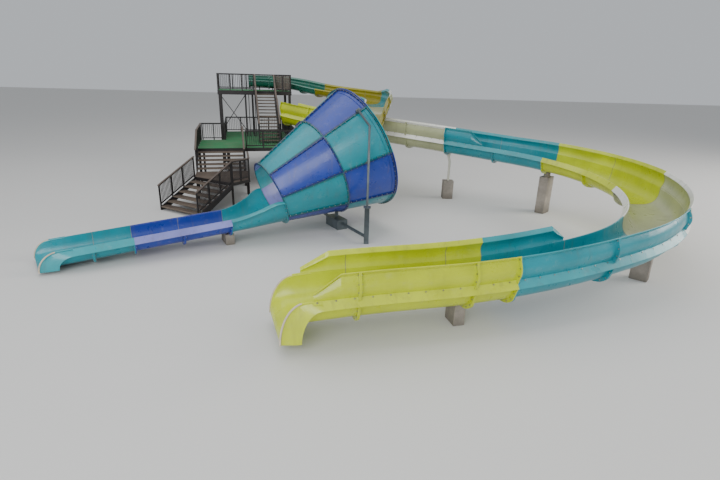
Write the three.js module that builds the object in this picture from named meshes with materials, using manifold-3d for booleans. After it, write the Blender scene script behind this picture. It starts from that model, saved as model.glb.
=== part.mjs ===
import * as THREE from 'three';
import { mergeVertices } from 'three/addons/utils/BufferGeometryUtils.js';
import Module from 'manifold-3d';

// A water slide tower: a steel stair tower, a funnel slide fed by an upper flume,
// and an open slide that makes a wide U-turn. Millimetres, +Z up, zero at the water.

const wasm = await Module();
wasm.setup();

const degrees = THREE.MathUtils.degToRad;
const vector = (x, y, z) => new THREE.Vector3(x, y, z);

// Running gap between pieces that touch
const GAP = 0.3;

// Levels above the water
const LANDING_LEVEL = 1150;
const LOWER_DECK_LEVEL = 2050;
const UPPER_DECK_LEVEL = 4800;

// Tower: its front left corner on the site and how far it is turned
const TOWER = { x: -8820, y: 29300, turn: degrees(15), width: 4450, depth: 3000 };
const LEG = 150;
const LEG_INSET = 120;
const BEAM = 180;
const FLOOR = 60;
const BASE_PLATE = { size: 300, thickness: 25 };

// Railings
const RAIL = { height: 950, underSlide: 890, post: 60, rail: 50, thickness: 40, gap: 90, bay: 950 };

// Stairs
const STEEP = { left: 2200, width: 1200, risers: 16, going: 190, landingTread: 8, landingDepth: 650 };
const WIDE = { left: -1050, width: 2350, risers: 6, going: 330 };
const FLIGHT = { width: 2400, risers: 7, going: 330, turn: degrees(-45) };
const TREAD = 45;
const STRINGER = { thickness: 50, depth: 260 };

// Lower deck and brown landing, as outlines in the tower's own plan
const LOWER_FRONT = -5000;
const LOWER_DECK = [
    [-1050, LOWER_FRONT], [4150, LOWER_FRONT], [4150, 2950], [300, 2950], [300, -1500], [-1050, -1500],
];
const LANDING_BACK = LOWER_FRONT - (WIDE.risers - 1) * WIDE.going - GAP;
const LANDING = [
    [-1050, LANDING_BACK], [-1050, -7830], [640, -9520], [1450, -8710], [1450, LANDING_BACK],
];

// Open flumes: an inner width and depth, a shell, a side flange and joint ribs
const SHELL = 20;
const FLANGE = 100;
const SADDLE = 60;
const RIB = 70;
const RIB_THICKNESS = 36;
const TROUGH_STEPS = 5;
const LIP = 80;
const FLARE = 110;
const SKIRT = 60;

// How far a raised wall bows outwards, as a share of its height, and where along that height
const BOW = { out: 0.14, height: 0.45 };

// U-turn slide: a straight, a tight turn, an easy turn and a straight to its mouth
const UTURN = {
    width: 1540, depth: 650, raised: 1260, flange: 160, skirt: 180,
    inlet: [4089, -2200], heading: degrees(-28.8), level: 2920,
    straight: 13180, tightRadius: 5520, tightAngle: degrees(125.4),
    easyRadius: 26000, easyAngle: degrees(13), last: 3040,
};

// Funnel: eight panels round and two rings long on a tilted axis
const FUNNEL = {
    centre: vector(-3300, 16570, 1650), axis: vector(0.796, 0.49, 0.357).normalize(),
    length: 3950, middle: 2190, smallRadius: 1120, middleRadius: 1800, bigRadius: 2330,
    panels: 8, firstSeam: degrees(-5), flange: 75, facets: 4,
};
const RUNOUT = { width: 1380, depth: 560, flange: 170, skirt: 190, end: vector(-9480, 13090, 100) };

// Upper flume from the top deck to the funnel, as points on its trough floor
const FEED = {
    width: 1250, depth: 420, raised: 950,
    points: [
        [-7450, 31750, 5010], [-5000, 32150, 4920], [-2700, 31300, 4560], [-800, 30400, 4350],
        [300, 29200, 4250], [750, 27500, 4160], [740, 25800, 4060], [640, 24900, 3990],
        [470, 23900, 3800], [230, 22500, 3300], [-80, 21100, 2730], [-560, 19200, 2010],
    ],
};

const COLOURS = {
    teal: 0x148f97, blue: 0x28409c, olive: 0x8c8a18, lime: 0xaab41e, cream: 0xa8a684, green: 0x2f6a54,
    steel: 0x2b2625, handrail: 0x7a6a58, deckGreen: 0x2f7a3c, boards: 0x6b5546, concrete: 0x8d8478,
    grey: 0x5d6468,
};

function material(colour, roughness, metalness) {
    return new THREE.MeshStandardMaterial({ color: COLOURS[colour], roughness, metalness });
}

const site = new THREE.Group();
const tower = new THREE.Group();
tower.position.set(TOWER.x, TOWER.y, 0);
tower.rotation.z = TOWER.turn;
site.add(tower);

function addPiece(parent, name, geometry, colour, roughness = 0.5, metalness = 0) {
    const mesh = new THREE.Mesh(geometry, material(colour, roughness, metalness));
    mesh.name = name;
    parent.add(mesh);
    return mesh;
}

// Solids and joins

function solid(geometry) {
    const bare = geometry.clone();
    bare.deleteAttribute('normal');
    bare.deleteAttribute('uv');
    const merged = mergeVertices(bare, 0.001);
    return new wasm.Manifold(new wasm.Mesh({
        numProp: 3,
        vertProperties: new Float32Array(merged.attributes.position.array),
        triVerts: new Uint32Array(merged.index.array),
    }));
}

function geometryOf(body) {
    const mesh = body.getMesh();
    const geometry = new THREE.BufferGeometry();
    geometry.setAttribute('position', new THREE.BufferAttribute(new Float32Array(mesh.vertProperties), 3));
    geometry.setIndex(new THREE.BufferAttribute(new Uint32Array(mesh.triVerts), 1));
    return geometry;
}

function join(...geometries) {
    const [first, ...others] = geometries.map(solid);
    return geometryOf(others.reduce((sum, other) => sum.add(other), first));
}

function cut(geometry, holes) {
    return geometryOf(holes.map(solid).reduce((rest, hole) => rest.subtract(hole), solid(geometry)));
}

function block(x0, y0, z0, x1, y1, z1) {
    const box = new THREE.BoxGeometry(x1 - x0, y1 - y0, z1 - z0);
    return box.translate((x0 + x1) / 2, (y0 + y1) / 2, (z0 + z1) / 2);
}

function plate(outline, z0, z1) {
    const shape = new THREE.Shape(outline.map(([x, y]) => new THREE.Vector2(x, y)));
    return new THREE.ExtrudeGeometry(shape, { depth: z1 - z0, bevelEnabled: false }).translate(0, 0, z0);
}

// A round or square bar between two points
function bar(from, to, radius, sides = 8) {
    const length = from.distanceTo(to);
    const geometry = new THREE.CylinderGeometry(radius, radius, length, sides);
    const turn = new THREE.Quaternion().setFromUnitVectors(
        new THREE.Vector3(0, 1, 0), to.clone().sub(from).normalize());
    const middle = from.clone().add(to).multiplyScalar(0.5);
    return geometry.applyQuaternion(turn).translate(middle.x, middle.y, middle.z);
}

// Closed skin over a row of outlines, each a list of points in a frame of its own
function sweep(stations) {
    const count = stations[0].outline.length;
    const points = stations.flatMap(({ outline, frame }) =>
        outline.map(([x, y]) => vector(x, y, 0).applyMatrix4(frame)));
    const faces = [];
    for (let station = 0; station < stations.length - 1; station++) {
        for (let corner = 0; corner < count; corner++) {
            const next = (corner + 1) % count;
            const a = station * count + corner;
            const b = station * count + next;
            faces.push([a, b, b + count], [a, b + count, a + count]);
        }
    }
    // Each cap turns against the skin at its first end and with it at its last
    const cap = (station, turn) => {
        const flat = stations[station].outline.map(([x, y]) => new THREE.Vector2(x, y));
        const outlineTurn = Math.sign(THREE.ShapeUtils.area(flat));
        for (const corners of THREE.ShapeUtils.triangulateShape(flat, [])) {
            const faceTurn = Math.sign(THREE.ShapeUtils.area(corners.map((corner) => flat[corner])));
            const face = corners.map((corner) => station * count + corner);
            faces.push(faceTurn * outlineTurn === turn ? face : face.reverse());
        }
    };
    cap(0, -1);
    cap(stations.length - 1, 1);
    const volume = faces.reduce((sum, [a, b, c]) =>
        sum + points[a].dot(points[b].clone().cross(points[c])), 0);
    const outward = volume > 0 ? faces : faces.map(([a, b, c]) => [a, c, b]);
    const geometry = new THREE.BufferGeometry().setFromPoints(points);
    return geometry.setIndex(outward.flat());
}

// Flumes

// Points of a trough's inner curve from its left edge to its right edge
function troughCurve(width, depth, boxiness) {
    const points = [];
    for (let step = 0; step <= TROUGH_STEPS; step++) {
        const angle = Math.PI * (step / TROUGH_STEPS - 0.5);
        const across = Math.sign(angle) * Math.abs(Math.sin(angle)) ** boxiness;
        const height = 1 - Math.abs(Math.cos(angle)) ** boxiness;
        points.push([across * width / 2, height * depth]);
    }
    return points;
}

function pushedOut(points, distance) {
    return points.map(([x, y], index) => {
        const before = points[Math.max(index - 1, 0)];
        const after = points[Math.min(index + 1, points.length - 1)];
        const along = new THREE.Vector2(after[0] - before[0], after[1] - before[1]).normalize();
        return [x + along.y * distance, y - along.x * distance];
    });
}

// Closed outline of a flume's cross-section: trough, sloping side skirts, and raised walls
// whose top edge flares outwards
function flumeOutline({ width, depth, left, right, ribbed, boxiness = 0.62, ...edge }) {
    const { flange = FLANGE, skirt = SKIRT } = edge;
    const inner = troughCurve(width, depth, boxiness);
    const outer = pushedOut(inner, ribbed ? SHELL + RIB : SHELL);
    const half = width / 2;
    const wallBack = ribbed ? LIP - 5 : SHELL;
    const onSkirt = (out) => depth - skirt * (out - SHELL) / (flange - SHELL);
    const skirtBack = ribbed ? [flange - SHELL - 2, depth - skirt - 2] : [SHELL, depth - 2 * SHELL];
    const side = (sign, top) => {
        const bowed = half + BOW.out * (top - depth);
        const middle = depth + BOW.height * (top - depth);
        const flare = Math.min(FLARE, 0.3 * (top - depth));
        return [
            [sign * bowed, middle], [sign * half, top - flare], [sign * (half + LIP - SHELL), top],
            [sign * (half + LIP), top], [sign * (half + wallBack), top - flare - 8],
            [sign * (bowed + wallBack), middle], [sign * (half + wallBack), onSkirt(wallBack)],
            [sign * (half + flange), depth - skirt], [sign * (half + flange - SHELL), depth - skirt],
            [sign * (half + skirtBack[0]), skirtBack[1]],
        ];
    };
    const lowest = depth + 2 * SHELL + 10;
    const under = outer.slice(1, -1).reverse();
    const leftSide = side(-1, Math.max(left, lowest)).reverse();
    return [...inner, ...side(1, Math.max(right, lowest)), ...under, ...leftSide];
}

// A vertical cross-section frame at a point of the path, looking along it
function flumeFrame(point, direction, tilt = 0) {
    const ahead = vector(direction.x, direction.y, 0).normalize();
    const right = vector(ahead.y, -ahead.x, 0);
    const up = vector(0, 0, 1).applyAxisAngle(right, tilt);
    return new THREE.Matrix4().makeBasis(right, up, right.clone().cross(up)).setPosition(point);
}

// One flume section between two distances, with a joint rib at each end and at each middle rib.
// The profile gives the cross-section at a distance; breaks are distances where it turns.
function flumeSection(path, from, to, profile, { step = 900, ribs = [], breaks = [] } = {}) {
    const first = from + GAP;
    const last = to - GAP;
    const clear = 4;
    const marks = [[first, true], [first + RIB_THICKNESS, true], [first + RIB_THICKNESS + clear, false],
        [last - RIB_THICKNESS - clear, false], [last - RIB_THICKNESS, true], [last, true]];
    for (const rib of ribs) {
        marks.push([rib - RIB_THICKNESS - clear, false], [rib - RIB_THICKNESS, true],
            [rib + RIB_THICKNESS, true], [rib + RIB_THICKNESS + clear, false]);
    }
    const taken = marks.map(([distance]) => distance);
    const free = (distance) => distance > first && distance < last
        && taken.every((other) => Math.abs(other - distance) > step / 4);
    breaks.filter((distance) => distance > first + 100 && distance < last - 100)
        .forEach((distance) => {
            marks.push([distance, false]);
            taken.push(distance);
        });
    const steps = Math.round((last - first) / step);
    for (let index = 1; index < steps; index++) {
        const distance = THREE.MathUtils.lerp(first, last, index / steps);
        if (free(distance)) marks.push([distance, false]);
    }
    marks.sort(([a], [b]) => a - b);
    return sweep(marks.map(([distance, ribbed]) => {
        const { point, direction, tilt } = path(distance);
        return {
            outline: flumeOutline({ ...profile(distance), ribbed }),
            frame: flumeFrame(point, direction, tilt),
        };
    }));
}

// Height of the flat underside of a rib below the trough floor's origin
function ribBottom(profile) {
    return Math.min(...flumeOutline({ ...profile, ribbed: true }).map(([, y]) => y));
}

// Wall height that follows turning points, each a distance and a share of the raised wall
function wallAt(turns, distance, { depth, raised }) {
    const next = turns.findIndex(([along]) => along > distance);
    if (next === 0) return depth + (raised - depth) * turns[0][1];
    if (next < 0) return depth + (raised - depth) * turns[turns.length - 1][1];
    const [[startAlong, start], [endAlong, end]] = [turns[next - 1], turns[next]];
    const share = (distance - startAlong) / (endAlong - startAlong);
    return depth + (raised - depth) * THREE.MathUtils.lerp(start, end, share);
}

// Funnel

const funnelUp = vector(0, 0, 1).projectOnPlane(FUNNEL.axis).normalize();
const funnelSide = FUNNEL.axis.clone().cross(funnelUp);

// Frame of the plane through the axis at an angle from the top towards the near side
function funnelFrame(angle) {
    const outward = funnelUp.clone().multiplyScalar(Math.cos(angle))
        .addScaledVector(funnelSide, Math.sin(angle));
    return new THREE.Matrix4()
        .makeBasis(outward, FUNNEL.axis, outward.clone().cross(FUNNEL.axis)).setPosition(FUNNEL.centre);
}

// Rolled rim of the wide ring: distances along the axis and how far it folds in
const ROLL = { start: 120, bend: 60, ridge: 80, fold: 70, out: 30, front: 50 };

// Outline of a panel in the plane of its radius: shell, ring flanges, and a rolled rim if asked
function panelOutline({ near, far, nearRadius, farRadius, ribbed, rolled }) {
    const start = near + GAP;
    const end = far - GAP;
    const slope = (farRadius - nearRadius) / (far - near);
    const radius = (along) => nearRadius + slope * (along - near);
    const back = ribbed ? FUNNEL.flange - 5 : SHELL;
    const outline = [[radius(start), start]];
    if (rolled) {
        outline.push([radius(end - ROLL.start), end - ROLL.start]);
        outline.push([radius(end) - ROLL.fold, end - ROLL.bend]);
        outline.push([radius(end) - ROLL.ridge, end], [radius(end) - ROLL.out, end + ROLL.front]);
        outline.push([radius(end) + FUNNEL.flange, end + ROLL.front]);
    } else {
        outline.push([radius(end), end], [radius(end) + FUNNEL.flange, end]);
    }
    outline.push([radius(end) + FUNNEL.flange, end - RIB_THICKNESS]);
    outline.push([radius(end) + back, end - RIB_THICKNESS - 4]);
    outline.push([radius(start) + back, start + RIB_THICKNESS + 4]);
    outline.push([radius(start) + FUNNEL.flange, start + RIB_THICKNESS]);
    outline.push([radius(start) + FUNNEL.flange, start]);
    return outline;
}

// Where a seam flange has run out into the shell, in seam thicknesses
const SEAM_CLEAR = 1.1;

function funnelPanel(ring, index) {
    const wide = ring === 'b';
    const { middle, length, smallRadius, middleRadius, bigRadius } = FUNNEL;
    const sizes = wide
        ? { near: middle, far: length, nearRadius: middleRadius, farRadius: bigRadius }
        : { near: 0, far: middle, nearRadius: smallRadius, farRadius: middleRadius };
    const seam = RIB_THICKNESS / sizes.nearRadius;
    const gap = GAP / sizes.nearRadius;
    const start = FUNNEL.firstSeam + index * 2 * Math.PI / FUNNEL.panels + gap;
    const end = start + 2 * Math.PI / FUNNEL.panels - 2 * gap;
    const marks = [[start, true], [start + seam, true]];
    const inside = [start + seam * SEAM_CLEAR, end - seam * SEAM_CLEAR];
    for (let facet = 0; facet <= FUNNEL.facets; facet++) {
        marks.push([THREE.MathUtils.lerp(...inside, facet / FUNNEL.facets), false]);
    }
    marks.push([end - seam, true], [end, true]);
    return sweep(marks.map(([angle, ribbed]) => ({
        outline: panelOutline({ ...sizes, ribbed, rolled: wide }), frame: funnelFrame(angle),
    })));
}

for (const ring of ['a', 'b']) {
    for (let index = 0; index < FUNNEL.panels; index++) {
        const blue = (index + (ring === 'a' ? 0 : 1)) % 2 === 1;
        const name = `funnel_panel_${ring}${index + 1}`;
        addPiece(site, name, funnelPanel(ring, index), blue ? 'blue' : 'teal', 0.3);
    }
}

// Run-out of the funnel: a channel that narrows from the small ring, then runs straight to its mouth

const runoutStart = FUNNEL.centre.clone().addScaledVector(funnelUp, -FUNNEL.smallRadius);
const runoutSpan = RUNOUT.end.clone().sub(runoutStart);
const runoutLength = Math.hypot(runoutSpan.x, runoutSpan.y);
const RUNOUT_TRANSITION = 2050;
const LIP_BAND = 180;
const LIP_THICKNESS = 60;
const LIP_BACK = 600;
const LIP_FOOT = 0.68;
const runoutTilt = Math.asin(FUNNEL.axis.z);

function runoutPath(distance) {
    const share = distance / runoutLength;
    const point = runoutStart.clone().addScaledVector(runoutSpan, share);
    const easing = Math.max(0, 1 - distance / (RUNOUT_TRANSITION * 0.5));
    const direction = runoutSpan.clone().normalize().lerp(FUNNEL.axis.clone().negate(), easing);
    return { point, direction, tilt: -runoutTilt * easing };
}

function transitionProfile(distance) {
    const blend = THREE.MathUtils.smoothstep(distance / RUNOUT_TRANSITION, 0, 1);
    return {
        width: THREE.MathUtils.lerp(2 * FUNNEL.smallRadius, RUNOUT.width, blend),
        depth: THREE.MathUtils.lerp(FUNNEL.smallRadius - 60, RUNOUT.depth, blend),
        boxiness: THREE.MathUtils.lerp(1, 0.62, blend), left: 0, right: 0,
        flange: RUNOUT.flange, skirt: SKIRT,
    };
}

const runoutProfile = () => ({
    width: RUNOUT.width, depth: RUNOUT.depth, left: 0, right: 0,
    flange: RUNOUT.flange, skirt: RUNOUT.skirt,
});

addPiece(site, 'runout_transition',
    flumeSection(runoutPath, 0, RUNOUT_TRANSITION, transitionProfile, { step: 400 }), 'teal', 0.3);
addPiece(site, 'runout_middle',
    flumeSection(runoutPath, RUNOUT_TRANSITION, 5100, runoutProfile, { step: 4000 }), 'blue', 0.3);

// Level of the water at the mouths, above the lowest footing
const WATER = 250;

// Lip plate that carries a wall of a mouth on in a quarter of an ellipse, down to the water:
// a band below the top edge that grows wider towards its foot
function mouthLip(reach, top, drop) {
    const height = top + drop;
    const quarter = (inset, from, to) => [0, 1, 2, 3, 4, 5].map((step) => {
        const angle = Math.PI / 2 * (1 - step / 5);
        const up = (height - inset) * Math.sin(angle) - drop;
        return new THREE.Vector2(from + (to - from) * Math.cos(angle), up);
    });
    const inner = quarter(LIP_BAND, -LIP_BACK, reach * (1 - LIP_FOOT)).reverse();
    const shape = new THREE.Shape([new THREE.Vector2(-LIP_BACK, top), ...quarter(0, 0, reach), ...inner]);
    return new THREE.ExtrudeGeometry(shape, { depth: LIP_THICKNESS, bevelEnabled: false })
        .translate(0, 0, -LIP_THICKNESS / 2);
}

// A mouth section: its two walls run out in lips, with a reach for the left and the right one
function mouthSection(path, from, to, base, reaches, options) {
    const body = flumeSection(path, from, to, base, options);
    const { point, direction } = path(to);
    const ahead = vector(direction.x, direction.y, 0).normalize();
    const right = vector(ahead.y, -ahead.x, 0);
    const { width, depth } = base(to);
    const lips = reaches.map((reach, index) => {
        const side = index === 0 ? -1 : 1;
        const root = point.clone().addScaledVector(right, side * (width / 2 + SHELL + 12));
        const frame = new THREE.Matrix4()
            .makeBasis(ahead, vector(0, 0, 1), ahead.clone().cross(vector(0, 0, 1)))
            .setPosition(root.addScaledVector(ahead, -1));
        return mouthLip(reach, depth, point.z - WATER).applyMatrix4(frame);
    });
    return join(body, ...lips);
}

addPiece(site, 'runout_mouth', mouthSection(runoutPath, 5100, runoutLength, runoutProfile, [120, 350],
    { step: 4000, ribs: [6250] }), 'teal', 0.3);

// U-turn slide

const uturnPlan = new THREE.CurvePath();
{
    const { inlet, straight, tightRadius, tightAngle, easyRadius, easyAngle, last } = UTURN;
    const along = (heading) => new THREE.Vector2(Math.cos(heading), Math.sin(heading));
    const rightOf = (heading) => new THREE.Vector2(Math.sin(heading), -Math.cos(heading));
    tower.updateMatrixWorld();
    const start = tower.localToWorld(vector(...inlet, 0));
    const a = new THREE.Vector2(start.x, start.y);
    const b = a.clone().addScaledVector(along(UTURN.heading), straight);
    uturnPlan.add(new THREE.LineCurve(a, b));
    let heading = UTURN.heading;
    let point = b;
    for (const [radius, angle] of [[tightRadius, tightAngle], [easyRadius, easyAngle]]) {
        const centre = point.clone().addScaledVector(rightOf(heading), radius);
        const from = heading + Math.PI / 2;
        const arc = new THREE.EllipseCurve(centre.x, centre.y, radius, radius, from, from - angle, true);
        uturnPlan.add(arc);
        heading -= angle;
        point = arc.getPoint(1);
    }
    uturnPlan.add(new THREE.LineCurve(point, point.clone().addScaledVector(along(heading), last)));
}
uturnPlan.arcLengthDivisions = 800;
const uturnLength = uturnPlan.getLength();
const UTURN_FALL = { first: 0.051, growth: 0.000001, tub: 150, tubLength: 3000, easeFrom: 25300, ease: 6500 };

// Fall of the trough floor: steeper and steeper, then easing off to level before the mouth
function uturnFall(distance) {
    const { first, growth, easeFrom, ease } = UTURN_FALL;
    const steep = Math.min(distance, easeFrom);
    const easing = THREE.MathUtils.clamp(distance - easeFrom, 0, ease);
    const slope = first + 2 * growth * easeFrom;
    return first * steep + growth * steep ** 2 + slope * (easing - easing ** 2 / (2 * ease));
}

function uturnPath(distance) {
    const share = Math.min(distance / uturnLength, 1);
    const point = uturnPlan.getPointAt(share);
    const direction = uturnPlan.getTangentAt(share);
    const tub = Math.max(0, 1 - distance / UTURN_FALL.tubLength) ** 2 * UTURN_FALL.tub;
    return { point: vector(point.x, point.y, UTURN.level + tub - uturnFall(distance)), direction, tilt: 0 };
}

const UTURN_LEFT = [[13000, 0.77], [19400, 1], [33050, 1], [33620, 0.25], [33630, 0]];
const UTURN_RIGHT = [
    [11150, 1], [11690, 0.22], [11700, 0], [26350, 0], [26360, 0.22], [26800, 0.8],
    [33300, 0.8], [33910, 0.17], [33920, 0],
];
const UTURN_SECTIONS = [
    { name: 'uturn_start', to: 5800, colour: 'lime', ribs: [] },
    { name: 'uturn_cream', to: 9850, colour: 'cream', ribs: [7800] },
    { name: 'uturn_teal', to: 14650, colour: 'teal', ribs: [] },
    { name: 'uturn_bend_lime', to: 19400, colour: 'lime', ribs: [] },
    { name: 'uturn_bend_cream', to: 23100, colour: 'cream', ribs: [] },
    { name: 'uturn_bend_teal', to: 29100, colour: 'teal', ribs: [26300] },
];
const uturnBreaks = [...UTURN_LEFT, ...UTURN_RIGHT].map(([distance]) => distance);
const uturnProfile = (distance) => ({
    width: UTURN.width, depth: UTURN.depth, flange: UTURN.flange, skirt: UTURN.skirt,
    left: wallAt(UTURN_LEFT, distance, UTURN), right: wallAt(UTURN_RIGHT, distance, UTURN),
});
let reached = 0;
for (const { name, to, colour, ribs } of UTURN_SECTIONS) {
    const turning = to > UTURN.straight;
    const options = { step: turning ? 800 : 6000, ribs, breaks: uturnBreaks };
    addPiece(site, name, flumeSection(uturnPath, reached, to, uturnProfile, options), colour, 0.3);
    reached = to;
}
addPiece(site, 'uturn_last_lime', mouthSection(uturnPath, reached, uturnLength, uturnProfile, [380, 500],
    { step: 1200, ribs: [30150, 32800], breaks: uturnBreaks }), 'lime', 0.3);

// Upper flume

const feedPoints = FEED.points.map((point) => vector(...point));
const feedCurve = new THREE.CatmullRomCurve3(feedPoints, false, 'centripetal');
feedCurve.arcLengthDivisions = 800;
const feedLength = feedCurve.getLength();

function feedPath(distance) {
    const share = Math.min(distance / feedLength, 1);
    return { point: feedCurve.getPointAt(share), direction: feedCurve.getTangentAt(share), tilt: 0 };
}

const FEED_END_WALL = { from: feedLength - 2600, to: feedLength - 2000 };
const FEED_LEFT = [
    [0, 0.5], [2600, 0.57], [8600, 0.57], [9800, 1], [FEED_END_WALL.from, 1], [FEED_END_WALL.to, 0],
];
const FEED_RIGHT = [[0, 0.5], [2400, 0.57], [2600, 0]];
const FEED_SECTIONS = [
    { name: 'feed_start_tub', to: 2500, colour: 'teal', step: 2000 },
    { name: 'feed_green', to: 4850, colour: 'green', step: 900 },
    { name: 'feed_olive', to: 9100, colour: 'olive', step: 750 },
    { name: 'feed_teal', to: 10600, colour: 'teal', step: 700 },
    { name: 'feed_cream', to: 13400, colour: 'cream', step: 900 },
    { name: 'feed_last', to: feedLength, colour: 'olive', step: 900 },
];
const BEARER_INSET = 90;
const feedBreaks = [...FEED_LEFT, ...FEED_RIGHT].map(([distance]) => distance);
const feedProfile = (distance) => ({
    width: FEED.width, depth: FEED.depth,
    left: wallAt(FEED_LEFT, distance, FEED), right: wallAt(FEED_RIGHT, distance, FEED),
});

// Cross bearer that carries the start tub on the upper deck
function bearer(path, distance) {
    const { point, direction } = path(distance);
    return block(-25, -380, UPPER_DECK_LEVEL + GAP, 25, 380, point.z)
        .rotateZ(Math.atan2(direction.y, direction.x)).translate(point.x, point.y, 0);
}

// Bracket under the last section, with a foot that lies in the rolled rim of the funnel
const RIM_BRACKET = { panel: 5, facet: 1, back: 430, foot: 90, along: 45 };

function rimBracket() {
    const { panel, facet, back, foot, along } = RIM_BRACKET;
    const panelSpan = 2 * Math.PI / FUNNEL.panels;
    const seamSpan = SEAM_CLEAR * RIB_THICKNESS / FUNNEL.middleRadius;
    const facetSpan = (panelSpan - 2 * seamSpan) / FUNNEL.facets;
    const angle = FUNNEL.firstSeam + panel * panelSpan + seamSpan + (facet + 0.5) * facetSpan;
    const rim = (FUNNEL.bigRadius - ROLL.ridge) * Math.cos(facetSpan / 2) - GAP;
    const spread = foot / rim;
    const outer = rim / Math.cos(spread);
    const outline = [[outer, FUNNEL.length - along], [outer, FUNNEL.length + along],
        [outer - SADDLE, FUNNEL.length + along], [outer - SADDLE, FUNNEL.length - along]];
    const ends = [-spread, spread].map((offset) => ({ outline, frame: funnelFrame(angle + offset) }));
    const seat = vector(rim - SADDLE / 2, FUNNEL.length, 0).applyMatrix4(funnelFrame(angle));
    const { point } = feedPath(feedLength - back);
    return join(sweep(ends), bar(seat, point.setZ(point.z - SHELL / 2), 40));
}

reached = 0;
for (const { name, to, colour, step } of FEED_SECTIONS) {
    const options = { step, breaks: feedBreaks };
    const section = flumeSection(feedPath, reached, to, feedProfile, options);
    const extras = {
        feed_start_tub: () => [bearer(feedPath, BEARER_INSET), bearer(feedPath, to - BEARER_INSET)],
        feed_last: () => [rimBracket()],
    };
    addPiece(site, name, extras[name] ? join(section, ...extras[name]()) : section, colour, 0.35);
    reached = to;
}

// Railings: posts and rails of one flat panel

function balustrade(from, to, height = RAIL.height) {
    const run = Math.hypot(to.x - from.x, to.y - from.y);
    const slope = (to.z - from.z) / run;
    const at = (along, up) => new THREE.Vector2(along, up + slope * along);
    const bays = Math.max(1, Math.ceil(run / RAIL.bay));
    const post = (index) => RAIL.post / 2 + (run - RAIL.post) * index / bays;
    const outline = [];
    const holes = [];
    for (let index = 0; index <= bays; index++) {
        const left = post(index) - RAIL.post / 2;
        const right = post(index) + RAIL.post / 2;
        outline.push(at(left, GAP), at(right, GAP));
        if (index < bays) {
            const next = post(index + 1) - RAIL.post / 2;
            outline.push(at(right, RAIL.gap), at(next, RAIL.gap));
            holes.push([
                at(right, RAIL.gap + RAIL.rail), at(next, RAIL.gap + RAIL.rail),
                at(next, height - RAIL.rail), at(right, height - RAIL.rail),
            ]);
        }
    }
    outline.push(at(run, height), at(0, height));
    const panel = (points, thickness) => new THREE.ExtrudeGeometry(
        new THREE.Shape(points), { depth: thickness, bevelEnabled: false }).translate(0, 0, -thickness / 2);
    return cut(panel(outline, RAIL.thickness), holes.map((hole) => panel(hole, 2 * RAIL.thickness)))
        .rotateX(Math.PI / 2)
        .rotateZ(Math.atan2(to.y - from.y, to.x - from.x))
        .translate(from.x, from.y, from.z);
}

function railingAlong(points, height = RAIL.height) {
    const panels = points.slice(1).map((point, index) => balustrade(points[index], point, height));
    return panels.length > 1 ? join(...panels) : panels[0];
}

// Stairs: two stringers and their treads, going down towards -Y from a top edge at the origin

function sidePlate(outline, x, thickness) {
    const shape = new THREE.Shape(outline.map(([along, up]) => new THREE.Vector2(along, up)));
    const frame = new THREE.Matrix4().makeBasis(vector(0, -1, 0), vector(0, 0, 1), vector(-1, 0, 0));
    return new THREE.ExtrudeGeometry(shape, { depth: thickness, bevelEnabled: false })
        .applyMatrix4(frame).translate(x + thickness, 0, 0);
}

function stair({ width, drop, risers, goings, top, bottom }) {
    const rise = drop / risers;
    const stringer = [...bottom, ...top.slice().reverse()];
    const parts = [
        sidePlate(stringer, 0, STRINGER.thickness),
        sidePlate(stringer, width - STRINGER.thickness, STRINGER.thickness),
    ];
    let along = 0;
    goings.forEach((going, index) => {
        const level = -(index + 1) * rise;
        const side = STRINGER.thickness - 2;
        parts.push(block(side, -along - going - 20, level - TREAD, width - side, -along - 5, level));
        along += going;
    });
    return join(...parts);
}

// Stringer lines of a plain flight, as distances out and heights from its top edge
function plainLines(drop, risers, going) {
    const run = (risers - 1) * going;
    const top = [[GAP, -20], [run + 40, -drop + drop / risers - 20]];
    const bottom = [[GAP, -STRINGER.depth], [run - 0.9 * going, -drop + GAP], [run + 40, -drop + GAP]];
    return { top, bottom, goings: Array(risers - 1).fill(going) };
}

function steepLines() {
    const { risers, going, landingTread, landingDepth } = STEEP;
    const drop = UPPER_DECK_LEVEL - LOWER_DECK_LEVEL;
    const rise = drop / risers;
    const goings = Array(risers - 1).fill(going);
    goings[landingTread - 1] = landingDepth;
    const before = (landingTread - 1) * going;
    const after = before + landingDepth;
    const run = after + (risers - 1 - landingTread) * going;
    const top = [
        [GAP, -20], [before, -(landingTread - 1) * rise - 20], [after, -landingTread * rise],
        [run + 40, -drop + rise - 20],
    ];
    const bottom = [
        [GAP, -STRINGER.depth], [before, -landingTread * rise - 150], [after, -landingTread * rise - 260],
        [run - 110, -drop + GAP], [run + 40, -drop + GAP],
    ];
    return { top, bottom, goings, drop, before, after, rise };
}

// Handrail panel along a stringer's top line, at a distance across the flight
function stairRailing(x, top) {
    return railingAlong(top.map(([along, up]) => vector(x, -along, up)));
}

// Tower frame: four legs on base plates, deck beams and braces

const towerLegs = [
    [LEG_INSET, LEG_INSET], [TOWER.width - LEG_INSET, LEG_INSET],
    [TOWER.width - LEG_INSET, TOWER.depth - LEG_INSET], [LEG_INSET, TOWER.depth - LEG_INSET],
];
const BEAM_TOP = UPPER_DECK_LEVEL - FLOOR - GAP;

function post(x, y, z0, z1, size = LEG) {
    return block(x - size / 2, y - size / 2, z0, x + size / 2, y + size / 2, z1);
}

function basePlate(x, y) {
    const half = BASE_PLATE.size / 2;
    return block(x - half, y - half, 0, x + half, y + half, BASE_PLATE.thickness);
}

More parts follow.
